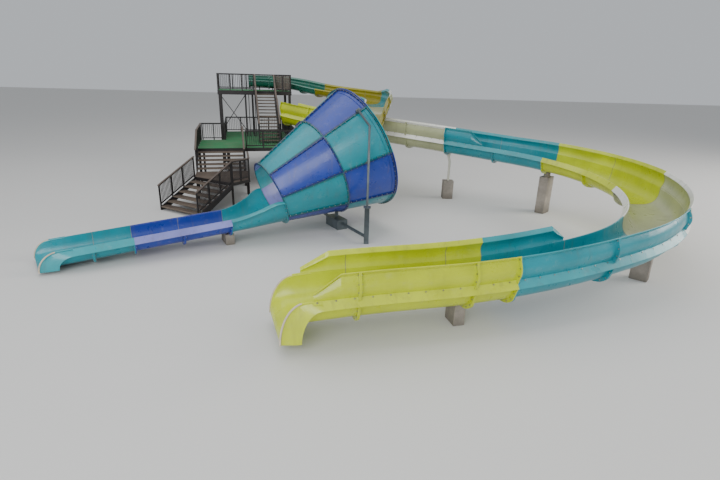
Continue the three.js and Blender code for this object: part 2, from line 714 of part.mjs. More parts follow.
function towerFrame() {
    const parts = [];
    for (const [x, y] of towerLegs) {
        parts.push(post(x, y, 0, BEAM_TOP), basePlate(x, y));
    }
    const z0 = BEAM_TOP - BEAM;
    const { width, depth } = TOWER;
    const beamWidth = 90;
    for (const y of [0, depth / 2 - beamWidth / 2, depth - beamWidth]) {
        parts.push(block(0, y, z0, width, y + beamWidth, BEAM_TOP));
    }
    for (const x of [0, width - beamWidth]) {
        parts.push(block(x, 0, z0, x + beamWidth, depth, BEAM_TOP));
    }
    const hangers = [1650, 2080];
    for (const x of hangers) {
        for (const y of [LEG_INSET, depth / 2]) {
            parts.push(post(x, y, LOWER_DECK_LEVEL + GAP, z0 + 10, 70));
        }
    }
    const low = LOWER_DECK_LEVEL + 350;
    const high = z0 + 20;
    const y = LEG_INSET;
    parts.push(bar(vector(LEG_INSET, y, low), vector(hangers[0], y, high), 22, 6));
    parts.push(bar(vector(LEG_INSET, y, high), vector(hangers[0], y, low), 22, 6));
    return join(...parts);
}

addPiece(tower, 'tower_frame', towerFrame(), 'steel', 0.55, 0.5);
addPiece(tower, 'upper_deck_floor',
    block(0, 0, UPPER_DECK_LEVEL - FLOOR, TOWER.width, TOWER.depth, UPPER_DECK_LEVEL), 'deckGreen', 0.8);

// Lower deck: a green floor with a steel edge, on posts

function lowerDeck() {
    const z0 = LOWER_DECK_LEVEL - BEAM;
    const parts = [plate(LOWER_DECK, z0, LOWER_DECK_LEVEL)];
    const posts = [
        [-960, LOWER_FRONT + 90], [1300, LOWER_FRONT + 90], [4050, LOWER_FRONT + 90],
        [-960, -1600], [400, -1600], [400, 2850], [4050, -1200], [4050, 2850],
    ];
    for (const [x, y] of posts) {
        parts.push(post(x, y, 0, z0 + 10, 120));
    }
    return join(...parts);
}
addPiece(tower, 'lower_deck', lowerDeck(), 'deckGreen', 0.8);

const steep = steepLines();
const steepGroup = new THREE.Group();
steepGroup.position.set(STEEP.left, 0, UPPER_DECK_LEVEL);
tower.add(steepGroup);

// Platform beside the steep stair's landing, where the U-turn slide starts
function midPlatform() {
    const z = UPPER_DECK_LEVEL - STEEP.landingTread * steep.rise;
    const x0 = STEEP.left + STEEP.width + GAP;
    const [x, y] = UTURN.inlet;
    const turn = UTURN.heading - TOWER.turn;
    const inletAt = (across) => [x - across * Math.sin(turn), y + across * Math.cos(turn)];
    const [right, left] = [inletAt(-850), inletAt(780)];
    const outline = [[x0, right[1]], right, left, [left[0], -900], [x0, -900]];
    const parts = [plate(outline, z - 100, z)];
    for (const [postX, postY] of [[x0 + 60, right[1] + 60], [left[0] - 60, -960], [x0 + 60, -960]]) {
        parts.push(post(postX, postY, LOWER_DECK_LEVEL + GAP, z - 90, 90));
    }
    return join(...parts);
}
addPiece(steepGroup, 'steep_stair',
    stair({ width: STEEP.width, risers: STEEP.risers, ...steep }), 'steel', 0.55, 0.5);
addPiece(tower, 'mid_platform', midPlatform(), 'steel', 0.55, 0.5);

const wideDrop = LOWER_DECK_LEVEL - LANDING_LEVEL;
const wide = plainLines(wideDrop, WIDE.risers, WIDE.going);
const wideGroup = new THREE.Group();
wideGroup.position.set(WIDE.left, LOWER_FRONT, LOWER_DECK_LEVEL);
tower.add(wideGroup);
addPiece(wideGroup, 'wide_stair',
    stair({ width: WIDE.width, drop: wideDrop, risers: WIDE.risers, ...wide }), 'steel', 0.6, 0.4);

function landing() {
    const parts = [plate(LANDING, LANDING_LEVEL - 140, LANDING_LEVEL)];
    for (const [x, y] of [[-960, -6850], [1360, -6850], [-960, -7740], [640, -9400], [1360, -8660]]) {
        parts.push(post(x, y, 0, LANDING_LEVEL - 130, 100));
    }
    return join(...parts);
}
addPiece(tower, 'landing', landing(), 'boards', 0.7);

const flightGroup = new THREE.Group();
flightGroup.position.set(-1050 - GAP, -7830 - GAP, LANDING_LEVEL);
flightGroup.rotation.z = FLIGHT.turn;
tower.add(flightGroup);
const flight = plainLines(LANDING_LEVEL, FLIGHT.risers, FLIGHT.going);
addPiece(flightGroup, 'lower_flight',
    stair({ width: FLIGHT.width, drop: LANDING_LEVEL, risers: FLIGHT.risers, ...flight }), 'steel', 0.6, 0.4);

// Railings in place

const upper = UPPER_DECK_LEVEL;
const lower = LOWER_DECK_LEVEL;
const inset = RAIL.thickness / 2 + 10;
const stairRight = STEEP.left + STEEP.width;

addPiece(tower, 'upper_railing_front',
    railingAlong([vector(inset, inset, upper), vector(STEEP.left - 10, inset, upper)]), 'steel', 0.5, 0.5);
addPiece(tower, 'upper_railing_back', railingAlong([
    vector(inset, inset + 60, upper), vector(inset, TOWER.depth - inset, upper),
    vector(TOWER.width - inset, TOWER.depth - inset, upper)]), 'steel', 0.5, 0.5);
addPiece(tower, 'upper_railing_right', railingAlong([
    vector(stairRight + 10, inset, upper), vector(TOWER.width - inset, inset, upper),
    vector(TOWER.width - inset, 800, upper)]), 'steel', 0.5, 0.5);

const stringerMiddle = STRINGER.thickness / 2;
addPiece(steepGroup, 'steep_stair_railing_left', stairRailing(stringerMiddle, steep.top), 'handrail', 0.6);
addPiece(steepGroup, 'steep_stair_railing_right',
    stairRailing(STEEP.width - stringerMiddle, steep.top), 'handrail', 0.6);

// Side panel of the wide stair: level along the lower deck, then down on the stringer
function wideRailing(x, deckLength) {
    return join(
        balustrade(vector(x, deckLength, 0), vector(x, -RAIL.post / 2, 0)), stairRailing(x, wide.top));
}
addPiece(wideGroup, 'wide_stair_railing_left', wideRailing(stringerMiddle, 3440), 'handrail', 0.6);
addPiece(wideGroup, 'wide_stair_railing_right',
    wideRailing(WIDE.width - stringerMiddle, 1700), 'handrail', 0.6);

addPiece(tower, 'lower_railing_back', railingAlong([
    vector(-980, -1500 - inset, lower), vector(300 + inset, -1500 - inset, lower),
    vector(300 + inset, 2950 - inset, lower), vector(4150 - inset, 2950 - inset, lower)]), 'steel', 0.5, 0.5);
addPiece(tower, 'lower_railing_right', railingAlong([
    vector(1400, LOWER_FRONT + inset, lower), vector(4150 - inset, LOWER_FRONT + inset, lower),
    vector(4150 - inset, 2850, lower)], RAIL.underSlide), 'steel', 0.5, 0.5);

addPiece(tower, 'landing_railing', railingAlong([
    vector(1450 - inset, LANDING_BACK - 60, LANDING_LEVEL), vector(1450 - inset, -8710, LANDING_LEVEL),
    vector(650, -9520 + 1.5 * inset, LANDING_LEVEL)]), 'handrail', 0.6);

addPiece(flightGroup, 'lower_flight_railing_left', stairRailing(stringerMiddle, flight.top), 'handrail', 0.6);
addPiece(flightGroup, 'lower_flight_railing_right',
    stairRailing(FLIGHT.width - stringerMiddle, flight.top), 'handrail', 0.6);

// Supports of the slides: concrete piers and steel posts from the water's level up

// Upright block under a joint of a flume, turned along it, from the water's level to the rib,
// with a short steel head on it where one is asked for
function flumePier(path, distance, profile, along, across, head = 0) {
    const { point, direction } = path(distance);
    const top = path(distance + RIB_THICKNESS).point.z + ribBottom(profile(distance)) - GAP;
    const pier = block(-along / 2, -across / 2, 0, along / 2, across / 2, top - head);
    const whole = head ? join(pier, block(-90, -160, top - head - 10, 90, 160, top)) : pier;
    return whole.rotateZ(Math.atan2(direction.y, direction.x)).translate(point.x, point.y, 0);
}

// Steel post on a concrete pier, with a bent head that reaches in under a joint of a flume
function bentPost(path, distance, profile, [leanX, leanY]) {
    const { point } = path(distance);
    const lowest = path(distance + RIB_THICKNESS).point.z + ribBottom(profile(distance)) - GAP;
    const head = vector(point.x, point.y, lowest - 90);
    const elbow = vector(point.x + leanX, point.y + leanY, lowest - 420);
    const foot = elbow.clone().setZ(895);
    return join(
        block(head.x - 90, head.y - 90, lowest - 120, head.x + 90, head.y + 90, lowest),
        bar(head, elbow, 60), bar(elbow.clone().setZ(elbow.z + 35), foot, 60),
        block(foot.x - 250, foot.y - 250, 0, foot.x + 250, foot.y + 250, 905));
}

// Saddle plate that lies on the edge of a ring flange of the funnel, at an angle from its top
function ringSaddle(angle, along, radius) {
    const spread = 130 / radius;
    const inner = (radius + FUNNEL.flange) / Math.cos(spread / 2) + GAP;
    const outline = [[inner, along - 40], [inner, along + 40], [inner + SADDLE, along + 40],
        [inner + SADDLE, along - 40]];
    return sweep([-spread, 0, spread].map((offset) => ({ outline, frame: funnelFrame(angle + offset) })));
}

function saddleSeat(angle, along, radius) {
    return vector(radius + FUNNEL.flange + SADDLE, along, 0).applyMatrix4(funnelFrame(angle));
}

// Concrete pier below a ring flange, wide across the axis, with its saddle on top
function ringPier(angle, along, radius) {
    const seat = saddleSeat(angle, along, radius);
    const top = seat.z - 240;
    const pier = block(-220, -500, 0, 220, 500, top)
        .rotateZ(Math.atan2(FUNNEL.axis.y, FUNNEL.axis.x)).translate(seat.x, seat.y, 0);
    const neck = bar(seat, seat.clone().setZ(top - 20), 70);
    return { seat, body: join(ringSaddle(angle, along, radius), neck, pier) };
}

// Lug on the outer edge of a seam flange of the wide ring, between two distances along the axis
function seamLug(angle, along) {
    const step = RIB_THICKNESS + 4;
    const run = FUNNEL.length - FUNNEL.middle - 2 * step;
    const edge = (at) => FUNNEL.flange - 5 + THREE.MathUtils.lerp(
        FUNNEL.middleRadius, FUNNEL.bigRadius, (at - FUNNEL.middle - step) / run);
    const spread = (RIB_THICKNESS + GAP) / FUNNEL.middleRadius;
    const [near, far] = [along - 70, along + 70];
    const outline = [[edge(near) + 2 * GAP, near], [edge(far) + 2 * GAP, far],
        [edge(far) + 2 * SADDLE, far], [edge(near) + 2 * SADDLE, near]];
    return {
        lug: sweep([-spread, 0, spread].map((offset) => ({ outline, frame: funnelFrame(angle + offset) }))),
        seat: vector(edge(along) + SADDLE + 40, along, 0).applyMatrix4(funnelFrame(angle)),
    };
}

// The pier under the middle ring, and two stays beside the wide ring that are tied to it:
// an arm from a seam flange to the top of an upright post
const STAYS = {
    seams: [[1, degrees(40)], [-1, degrees(-50)]], along: 3600, reach: 780, drop: 470, joint: 1380, tie: 250,
};

function funnelStand() {
    const parts = STAYS.seams.map(([side, angle]) => {
        const { lug, seat } = seamLug(angle, STAYS.along);
        const elbow = seat.clone().addScaledVector(funnelSide, side * STAYS.reach).setZ(seat.z - STAYS.drop);
        const foot = elbow.clone().setZ(STAYS.joint);
        return join(
            lug, bar(seat, elbow, 40),
            bar(elbow.clone().setZ(elbow.z + 28), foot.clone().setZ(foot.z - 20), 40),
            block(foot.x - 130, foot.y - 130, foot.z - 25, foot.x + 130, foot.y + 130, foot.z),
            block(foot.x - 90, foot.y - 90, 0, foot.x + 90, foot.y + 90, foot.z - 15));
    });
    const pier = ringPier(Math.PI, FUNNEL.middle, FUNNEL.middleRadius);
    const ties = STAYS.seams.map(([side, angle]) => {
        const post = seamLug(angle, STAYS.along).seat.addScaledVector(funnelSide, side * STAYS.reach);
        return bar(post.setZ(STAYS.tie), pier.seat.clone().setZ(STAYS.tie), 60);
    });
    return join(...parts, ...ties, pier.body);
}

addPiece(site, 'funnel_stand', funnelStand(), 'grey', 0.5, 0.5);
addPiece(site, 'runout_pier',
    flumePier(runoutPath, RUNOUT_TRANSITION, runoutProfile, 300, 700), 'concrete', 0.9);
addPiece(site, 'uturn_post', bentPost(uturnPath, 9850, uturnProfile, [60, -150]), 'steel', 0.5, 0.5);
addPiece(site, 'uturn_pier_bend', flumePier(uturnPath, 14650, uturnProfile, 420, 600, 200), 'concrete', 0.9);
addPiece(site, 'uturn_pier_turn', flumePier(uturnPath, 23100, uturnProfile, 300, 500), 'concrete', 0.9);
addPiece(site, 'uturn_pier_last', flumePier(uturnPath, 30150, uturnProfile, 300, 500), 'concrete', 0.9);
addPiece(site, 'feed_post', bentPost(feedPath, 9100, feedProfile, [-400, 100]), 'steel', 0.5, 0.5);

// Origin under the base plate of the tower's front left leg
tower.updateMatrixWorld();
const origin = tower.localToWorld(vector(...towerLegs[0], 0));
site.position.set(-origin.x, -origin.y, 0);

export default site;
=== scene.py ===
"""Looks of a water slide tower with a funnel slide and an open U-turn slide, in metres."""
import math
from itertools import accumulate, product

import bmesh
import bpy
from mathutils import Matrix, Vector


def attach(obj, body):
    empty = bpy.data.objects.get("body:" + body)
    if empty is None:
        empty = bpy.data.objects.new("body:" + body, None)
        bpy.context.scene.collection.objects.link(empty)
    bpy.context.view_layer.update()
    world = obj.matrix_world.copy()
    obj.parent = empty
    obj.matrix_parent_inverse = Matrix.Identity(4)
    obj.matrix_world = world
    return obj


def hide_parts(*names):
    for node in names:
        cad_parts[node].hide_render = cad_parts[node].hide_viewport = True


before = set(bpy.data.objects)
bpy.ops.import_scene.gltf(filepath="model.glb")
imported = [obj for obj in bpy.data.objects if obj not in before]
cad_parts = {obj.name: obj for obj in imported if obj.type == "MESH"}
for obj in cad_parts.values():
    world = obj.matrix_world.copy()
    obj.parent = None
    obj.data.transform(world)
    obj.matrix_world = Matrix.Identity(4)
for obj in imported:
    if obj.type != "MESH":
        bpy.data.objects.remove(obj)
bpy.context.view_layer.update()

bl_info = {
    "name": "Water Slide Tower",
    "version": (1, 0, 0),
    "blender": (4, 5, 0),
    "location": "View3D > Sidebar > Slide tower",
    "description": "Dresses the solids of a water slide tower with shells, boards and finishes",
    "category": "Object",
}

UP = Vector((0, 0, 1))

# Tower plan: the frame's origin is the front left leg, and the tower is turned about it
TOWER_TURN = math.radians(15)
LEG_INSET = 0.12
TOWER = Matrix.Rotation(TOWER_TURN, 4, "Z") @ Matrix.Translation((-LEG_INSET, -LEG_INSET, 0))
SITE_LEG = Vector((-8.82, 29.3)) + Matrix.Rotation(TOWER_TURN, 2) @ Vector((LEG_INSET, LEG_INSET))
TOWER_WIDTH, TOWER_DEPTH = 4.45, 3.0
UPPER, LOWER, LANDING = 4.8, 2.05, 1.15
LOWER_FRONT = -5.0

STEEP = {"left": 2.2, "width": 1.2, "risers": 16, "going": 0.19,
         "landing_tread": 8, "landing_depth": 0.65}
WIDE = {"left": -1.05, "width": 2.35, "risers": 6, "going": 0.33}
FLIGHT = {"corner": (-1.05, -7.83), "width": 2.4, "risers": 7, "going": 0.33,
          "turn": math.radians(-45)}

# Flumes: their trough, the height of the raised walls, the reach and drop of the skirts
UTURN = {"width": 1.54, "depth": 0.65, "raised": 1.26, "flange": 0.16, "skirt": 0.18}
FEED = {"width": 1.25, "depth": 0.42, "raised": 0.95, "flange": 0.1, "skirt": 0.06}
RUNOUT = {"width": 1.38, "depth": 0.56, "raised": 0.56, "flange": 0.17, "skirt": 0.19}
BOXINESS = 0.62
# Funnel: lengths along its axis, radii at its three rings, and its panels
FUNNEL = {"length": 3.95, "middle": 2.19, "small": 1.12, "waist": 1.8, "big": 2.33,
          "panels": 8, "first_seam": math.radians(-5), "flange": 0.075}

# Raised walls: reach of the lip, height of the flare below it, bow as a share of the rise
LIP, FLARE, BOW = 0.09, 0.11, 0.1358
MIN_WALL = 0.03
# Length ahead of a mouth's roll over which broad lips take over from the skirts
BAND = 0.4
# Joint collars: their reach from the trough and from a wall, and where they start in the shell
COLLAR_REACH, WALL_COLLAR, COLLAR_ROOT = 0.115, 0.105, 0.8
# Half of the gap between neighbouring sections
SEAM = 0.0005

# Materials of the fibreglass pieces by their index
# The third material holds a paler copy of the gelcoat: painted light
BODY, BOLTS, PAINTED_LIGHT, SEALANT, WORN = range(5)
# On the funnel the fourth material is a darkened copy of the gelcoat: painted shade
PAINTED_SHADE = SEALANT

# Angle above which an edge shades sharp
SHARP = math.radians(35)


def site(x, y, z):
    """A place on the site plan, in the frame."""
    return Vector((x - SITE_LEG.x, y - SITE_LEG.y, z))


# Mesh helpers

def grown(made, verts, places):
    """Moves the fresh ends of an extrusion to their places and returns them in the old order."""
    fresh = {item for item in made if isinstance(item, bmesh.types.BMVert)}
    ends = [next(e.other_vert(v) for e in v.link_edges if e.other_vert(v) in fresh) for v in verts]
    for vert, place in zip(ends, places):
        vert.co = place
    return ends


def faces_among(items):
    return [item for item in items if isinstance(item, bmesh.types.BMFace)]


def carry(bm, sections, material=0):
    """Carries a strip through a row of sections, each two rows of places, as one closed solid."""
    near, far = sections[0]
    verts = [bm.verts.new(place) for place in near]
    edges = [bm.edges.new(pair) for pair in zip(verts, verts[1:])]
    made = bmesh.ops.extrude_edge_only(bm, edges=edges)["geom"]
    strip = faces_among(made)
    verts += grown(made, verts, far)
    solid = list(verts)
    for section in sections[1:]:
        made = bmesh.ops.extrude_face_region(bm, geom=strip)["geom"]
        verts = grown(made, verts, [place for row in section for place in row])
        strip = faces_among(made)
        solid += verts
    paint(faces_of(solid), material)


def paint(faces, material):
    for face in faces:
        face.material_index = material


def faces_of(verts):
    return {face for vert in verts for face in vert.link_faces}


def block(bm, low, high, place, material=0):
    """An upright block between two corners, in the plan of the matrix place."""
    low, high = Vector(low), Vector(high)
    matrix = place @ Matrix.Translation((low + high) / 2) @ Matrix.Diagonal((*(high - low), 1))
    paint(faces_of(bmesh.ops.create_cube(bm, size=1, matrix=matrix)["verts"]), material)


def along(start, end):
    """Frame with its local Z along a line and its local X level."""
    ahead = (end - start).normalized()
    side = ahead.cross(UP)
    side = side.normalized() if side.length > 1e-4 else Vector((1, 0, 0))
    basis = Matrix((side, ahead.cross(side), ahead)).transposed()
    return Matrix.Translation((start + end) / 2) @ basis.to_4x4()


def rod(bm, start, end, radius, sides, material):
    made = bmesh.ops.create_cone(
        bm, cap_ends=True, segments=sides, radius1=radius, radius2=radius,
        depth=(end - start).length, matrix=along(start, end))
    paint(faces_of(made["verts"]), material)


def board(bm, start, end, width, thickness, material=0):
    """A flat bar along a line, its width level."""
    size = Matrix.Diagonal((width, thickness, (end - start).length, 1))
    made = bmesh.ops.create_cube(bm, size=1, matrix=along(start, end) @ size)
    paint(faces_of(made["verts"]), material)


def bolt(bm, place, axis, scale=1.0):
    """A hexagon head on its washer."""
    head = sizes().bolt_head / 2 * scale
    rod(bm, place, place + axis * head * 0.25, head * 1.4, 10, BOLTS)
    rod(bm, place, place + axis * head * 1.1, head, 6, BOLTS)


def spread(start, end, count):
    """Middles of equal shares of a range."""
    return [start + (end - start) * ((step + 0.5) / count) for step in range(count)]


def moved(points, x, y):
    return [(x + dx, y + dy) for dx, dy in points]


def headings(places):
    """Direction of a line at each of its places."""
    return [(after - before).normalized()
            for before, after in zip([places[0], *places], [*places[1:], places[-1]])]


def tube(bm, places, radius, material):
    """A round bead along a line of places."""
    sections = []
    for place, ahead in zip(places, headings(places)):
        side = ahead.cross(UP).normalized()
        lift = side.cross(ahead)
        ring = [place + (side * math.cos(a) + lift * math.sin(a)) * radius
                for a in (math.pi * (k + 0.5) / 4 for k in range(8))]
        sections.append((ring[:4], ring[:3:-1]))
    carry(bm, sections, material)


def soften(bm, width, least=math.radians(40)):
    """Rounds the mesh's edges above an angle."""
    edges = [e for e in bm.edges if len(e.link_faces) == 2 and e.calc_face_angle(0) > least]
    bmesh.ops.bevel(bm, geom=edges, offset=width, offset_type="OFFSET", affect="EDGES",
                    segments=1, profile=0.5, material=-1, clamp_overlap=True)


def finish_piece(node, bm, finishes, kind="dressed"):
    """Makes the mesh a piece that rides on the root body in the place of a node."""
    name = f"{node.replace('_panel', '')}_{kind}"
    bmesh.ops.recalc_face_normals(bm, faces=bm.faces)
    mesh = bpy.data.meshes.new(name)
    bm.to_mesh(mesh)
    bm.free()
    for finish in finishes:
        mesh.materials.append(bpy.data.materials[finish])
    mesh.shade_smooth()
    mesh.set_sharp_from_angle(angle=SHARP)
    piece = bpy.data.objects.new(name, mesh)
    bpy.context.scene.collection.objects.link(piece)
    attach(piece, "root")
    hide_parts(node)


def cad_copy(node):
    """The node's solid as a merged mesh with whole flat faces."""
    bm = bmesh.new()
    bm.from_mesh(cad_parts[node].data)
    bmesh.ops.remove_doubles(bm, verts=bm.verts, dist=1e-5)
    bmesh.ops.dissolve_limit(bm, angle_limit=math.radians(0.5), verts=bm.verts, edges=bm.edges)
    return bm


# Finishes

def shade(colour, factor):
    return tuple(min(1.0, channel * factor) for channel in colour)


class Finish:
    """A procedural material in the making, on the coordinates of its object."""

    def __init__(self, name, roughness, metallic=0.0, coat=0.0):
        material = bpy.data.materials.new(name)
        material.use_nodes = True
        self.tree = material.node_tree
        self.shader = self.tree.nodes["Principled BSDF"]
        self.feed({"Metallic": metallic, "Roughness": roughness,
                   "Coat Weight": coat, "Coat Roughness": 0.12})
        self.coords = self.add("TexCoord", "Object", {})

    def feed(self, inputs, node=None):
        """Links or sets inputs of a node, or of the shader."""
        for key, value in inputs.items():
            socket = (node or self.shader).inputs[key]
            if isinstance(value, bpy.types.NodeSocket):
                self.tree.links.new(value, socket)
            else:
                socket.default_value = (*value, 1) if socket.type == "RGBA" else value

    def add(self, kind, output, inputs, data_type=None):
        """An output of a new node."""
        node = self.tree.nodes.new(f"ShaderNode{kind}")
        if data_type:
            node.data_type = data_type
        self.feed(inputs, node)
        return node.outputs[output]

    def noise(self, scale, detail, stretch=(1, 1, 1), rough=0.55):
        place = self.add("Mapping", "Vector", {"Vector": self.coords, "Scale": stretch})
        return self.add("TexNoise", "Fac", {
            "Vector": place, "Scale": scale, "Detail": detail, "Roughness": rough})

    def ramp(self, value, low, high, out_low=0.0, out_high=1.0):
        return self.add("MapRange", "Result", {
            "Value": value, "From Min": low, "From Max": high,
            "To Min": out_low, "To Max": out_high})

    def mix(self, share, first, second):
        """Mixes two colours, each a socket or three channels."""
        return self.add("Mix", 2, {0: share, 6: first, 7: second}, "RGBA")

    def bump(self, height, strength, distance):
        self.feed({"Normal": self.add("Bump", "Normal", {
            "Height": height, "Strength": strength, "Distance": distance})})


def gelcoat(name, colour, streak):
    """Sun-faded gelcoat: cloudy colour, chalky patches, streaks down the walls, soft gloss."""
    coat = Finish(name, 0.3, coat=0.25)
    dirt = (0.12, 0.1, 0.07)
    clouds = coat.ramp(coat.noise(0.9, 5), 0.35, 0.7)
    chalk = coat.ramp(coat.noise(5, 8, rough=0.7), 0.56, 0.78, 0, 0.12)
    runs = coat.ramp(coat.noise(6, 5, (1, 1, 0.08)), 0.54, 0.74, 0, streak)
    specks = coat.ramp(coat.noise(90, 2), 0.7, 0.78, 0, 0.5)
    body = coat.mix(clouds, shade(colour, 0.88), shade(colour, 1.12))
    body = coat.mix(chalk, body, (0.62, 0.6, 0.55))
    body = coat.mix(specks, coat.mix(runs, body, dirt), dirt)
    coat.feed({"Base Color": body, "Roughness": coat.ramp(coat.noise(3, 6), 0.3, 0.75, 0.24, 0.46)})
    coat.bump(coat.noise(7, 3), 0.25, 0.004)


def paint_coat(name, colour, roughness=0.5, metallic=0.3, wear=(0.16, 0.08, 0.045), worn=0.35):
    """Painted steel with dust, scuffs and a little rust."""
    coat = Finish(name, roughness, metallic)
    dust = coat.ramp(coat.noise(2.5, 6), 0.3, 0.7)
    rust = coat.ramp(coat.noise(14, 8, rough=0.7), 0.6, 0.72, 0, worn)
    body = coat.mix(dust, shade(colour, 0.8), shade(colour, 1.25))
    coat.feed({"Base Color": coat.mix(rust, body, wear),
               "Roughness": coat.ramp(rust, 0, 0.5, roughness, 0.85)})
    coat.bump(coat.noise(40, 4), 0.2, 0.002)


def grit(name, colour, dust):
    """Non-slip coating: a gritty skin with trodden, dusty patches."""
    coat = Finish(name, 0.85)
    trodden = coat.ramp(coat.noise(1.6, 7, rough=0.65), 0.45, 0.72, 0, 0.6)
    grains = coat.noise(160, 2)
    body = coat.mix(trodden, colour, dust)
    body = coat.mix(coat.ramp(grains, 0.55, 0.7, 0, 0.45), body, shade(colour, 0.5))
    coat.feed({"Base Color": body})
    coat.bump(grains, 0.5, 0.003)


def cast_concrete(name, colour):
    """Cast concrete: cloudy grey, darker towards the bottom, and pores."""
    coat = Finish(name, 0.9)
    clouds = coat.ramp(coat.noise(2.2, 8, rough=0.65), 0.3, 0.72)
    darker_low = coat.ramp(coat.add("SeparateXYZ", "Z", {"Vector": coat.coords}), 0.0, 0.35, 0.6, 0.0)
    pores = coat.noise(60, 4)
    body = coat.mix(clouds, shade(colour, 0.62), shade(colour, 1.2))
    body = coat.mix(darker_low, body, (0.07, 0.06, 0.045))
    body = coat.mix(coat.ramp(pores, 0.66, 0.72, 0, 0.7), body, shade(colour, 0.35))
    coat.feed({"Base Color": body})
    coat.bump(pores, 0.6, 0.006)


# Each gelcoat's colour, the paler colour of its copy for faces turned to the light (painted light),
# and by what share
GELCOATS = {
    "teal": ((0.0, 0.225, 0.275), (0.16, 0.6, 0.55), 0.12),
    "blue": ((0.014, 0.042, 0.3), (0.5, 0.48, 0.78), 0.35),
    "olive": ((0.25, 0.22, 0.004), (0.5, 0.5, 0.1), 0.15),
    "lime": ((0.47, 0.54, 0.003), (0.75, 0.78, 0.15), 0.1),
    "cream": ((0.4, 0.42, 0.24), (0.85, 0.84, 0.8), 0.85),
    "green": ((0.008, 0.12, 0.08), (0.3, 0.5, 0.42), 0.25),
}


def make_finishes():
    for name, (_, pale, share) in GELCOATS.items():
        colour = Vector(getattr(bpy.context.scene.slide_colours, name))
        gelcoat(f"gelcoat_{name}", tuple(colour), 0.12 if name == "lime" else 0.25)
        # Paler copy, for skirts, lips, rims and the funnel's lining: painted light
        gelcoat(f"painted_light_{name}", tuple(colour.lerp(Vector(pale), share)), 0.3)
        # Darkened copy, for the funnel's flanges: painted shade
        gelcoat(f"painted_shade_{name}", tuple(colour * 0.4), 0.6)
    gelcoat("pale_paint", (0.55, 0.53, 0.44), 0.4)
    paint_coat("worn_edge", (0.55, 0.47, 0.36), 0.6, 0.1, (0.3, 0.12, 0.03), 0.8)
    paint_coat("sealant", (0.2, 0.19, 0.16), 0.7, 0.0, (0.08, 0.07, 0.05), 0.5)
    paint_coat("charcoal_paint", (0.018, 0.015, 0.015))
    paint_coat("brown_paint", (0.1, 0.075, 0.06), 0.6, 0.1, (0.3, 0.25, 0.2))
    paint_coat("grey_paint", (0.1, 0.12, 0.13), 0.45, 0.5)
    paint_coat("bolt_zinc", (0.32, 0.31, 0.29), 0.4, 0.85, (0.18, 0.08, 0.03), 0.6)
    grit("green_grit", (0.03, 0.2, 0.07), (0.12, 0.16, 0.09))
    grit("brown_grit", (0.075, 0.052, 0.038), (0.17, 0.13, 0.095))
    grit("pale_nosing", (0.15, 0.115, 0.085), (0.08, 0.064, 0.05))
    cast_concrete("cast_concrete", (0.3, 0.265, 0.225))


# Flume sections

def trough_curve(width, depth, boxiness):
    """Inside of a trough from its left rim to its right rim."""
    steps = 20
    angles = [math.pi * (step / steps - 0.5) for step in range(steps + 1)]
    return [(math.copysign(abs(math.sin(angle)) ** boxiness, angle) * width / 2,
             (1 - abs(math.cos(angle)) ** boxiness) * depth) for angle in angles]


def pushed(points, distance):
    """The line moved to its right-hand side, seen along it."""
    return [(x + ahead.y * distance, y - ahead.x * distance)
            for (x, y), ahead in zip(points, headings([Vector(point) for point in points]))]


def skirt_line(half, depth, flange, skirt):
    """Top face of a side skirt: over the rim of the trough and down its slope."""
    return moved([(-0.001, -0.03), (0, -0.008), (0.008, 0.002), (0.03, 0.002),
                  (flange - 0.012, 0.028 - skirt), (flange, 0.012 - skirt), (flange, -skirt)],
                 half, depth)


def wall_line(half, depth, top):
    """Inside of a raised wall, from its foot up to where it flares."""
    rise = top - depth
    flare = min(FLARE, 0.3 * rise)
    line = [(BOW * rise * math.sin(math.pi * step / 10), (rise - flare) * step / 10)
            for step in range(1, 10)]
    return moved([(0.002, -0.002), *line, (0, rise - flare)], half, depth)


def lip_line(half, depth, top):
    """The flared lip of a raised wall and its turned edge."""
    flare = min(FLARE, 0.3 * (top - depth))
    return moved([(0.004, -flare - 0.02), (0, -flare), (0.006, 0.012 - flare),
                  (LIP - 0.024, -0.006), (LIP - 0.008, 0), (LIP, -0.006), (LIP, -0.024)], half, top)


def foot_line(half, depth, flange, skirt):
    """Foot of a raised wall, which lies on the slope of the skirt."""
    slope = skirt / (flange - 0.02)
    return [(half + out, depth + 0.006 - slope * max(out - 0.02, 0))
            for out in (0.004, 0.02, 0.045, 0.07)]


def mirrored(line, side):
    return [(side * x, y) for x, y in line]


def stood(line, station):
    origin, right, up = station
    return [origin + right * x + up * y for x, y in line]


def station(point, direction, tilt=0.0):
    ahead = Vector((direction.x, direction.y, 0)).normalized()
    right = Vector((ahead.y, -ahead.x, 0))
    up = Matrix.Rotation(tilt, 3, right) @ UP
    return point, right, up


def turning(turns, mark):
    """Share of the raised wall at a mark, from its turning points."""
    if mark <= turns[0][0]:
        return turns[0][1]
    for (start, first), (end, last) in zip(turns, turns[1:]):
        if mark <= end:
            return first + (last - first) * (mark - start) / (end - start)
    return turns[-1][1]


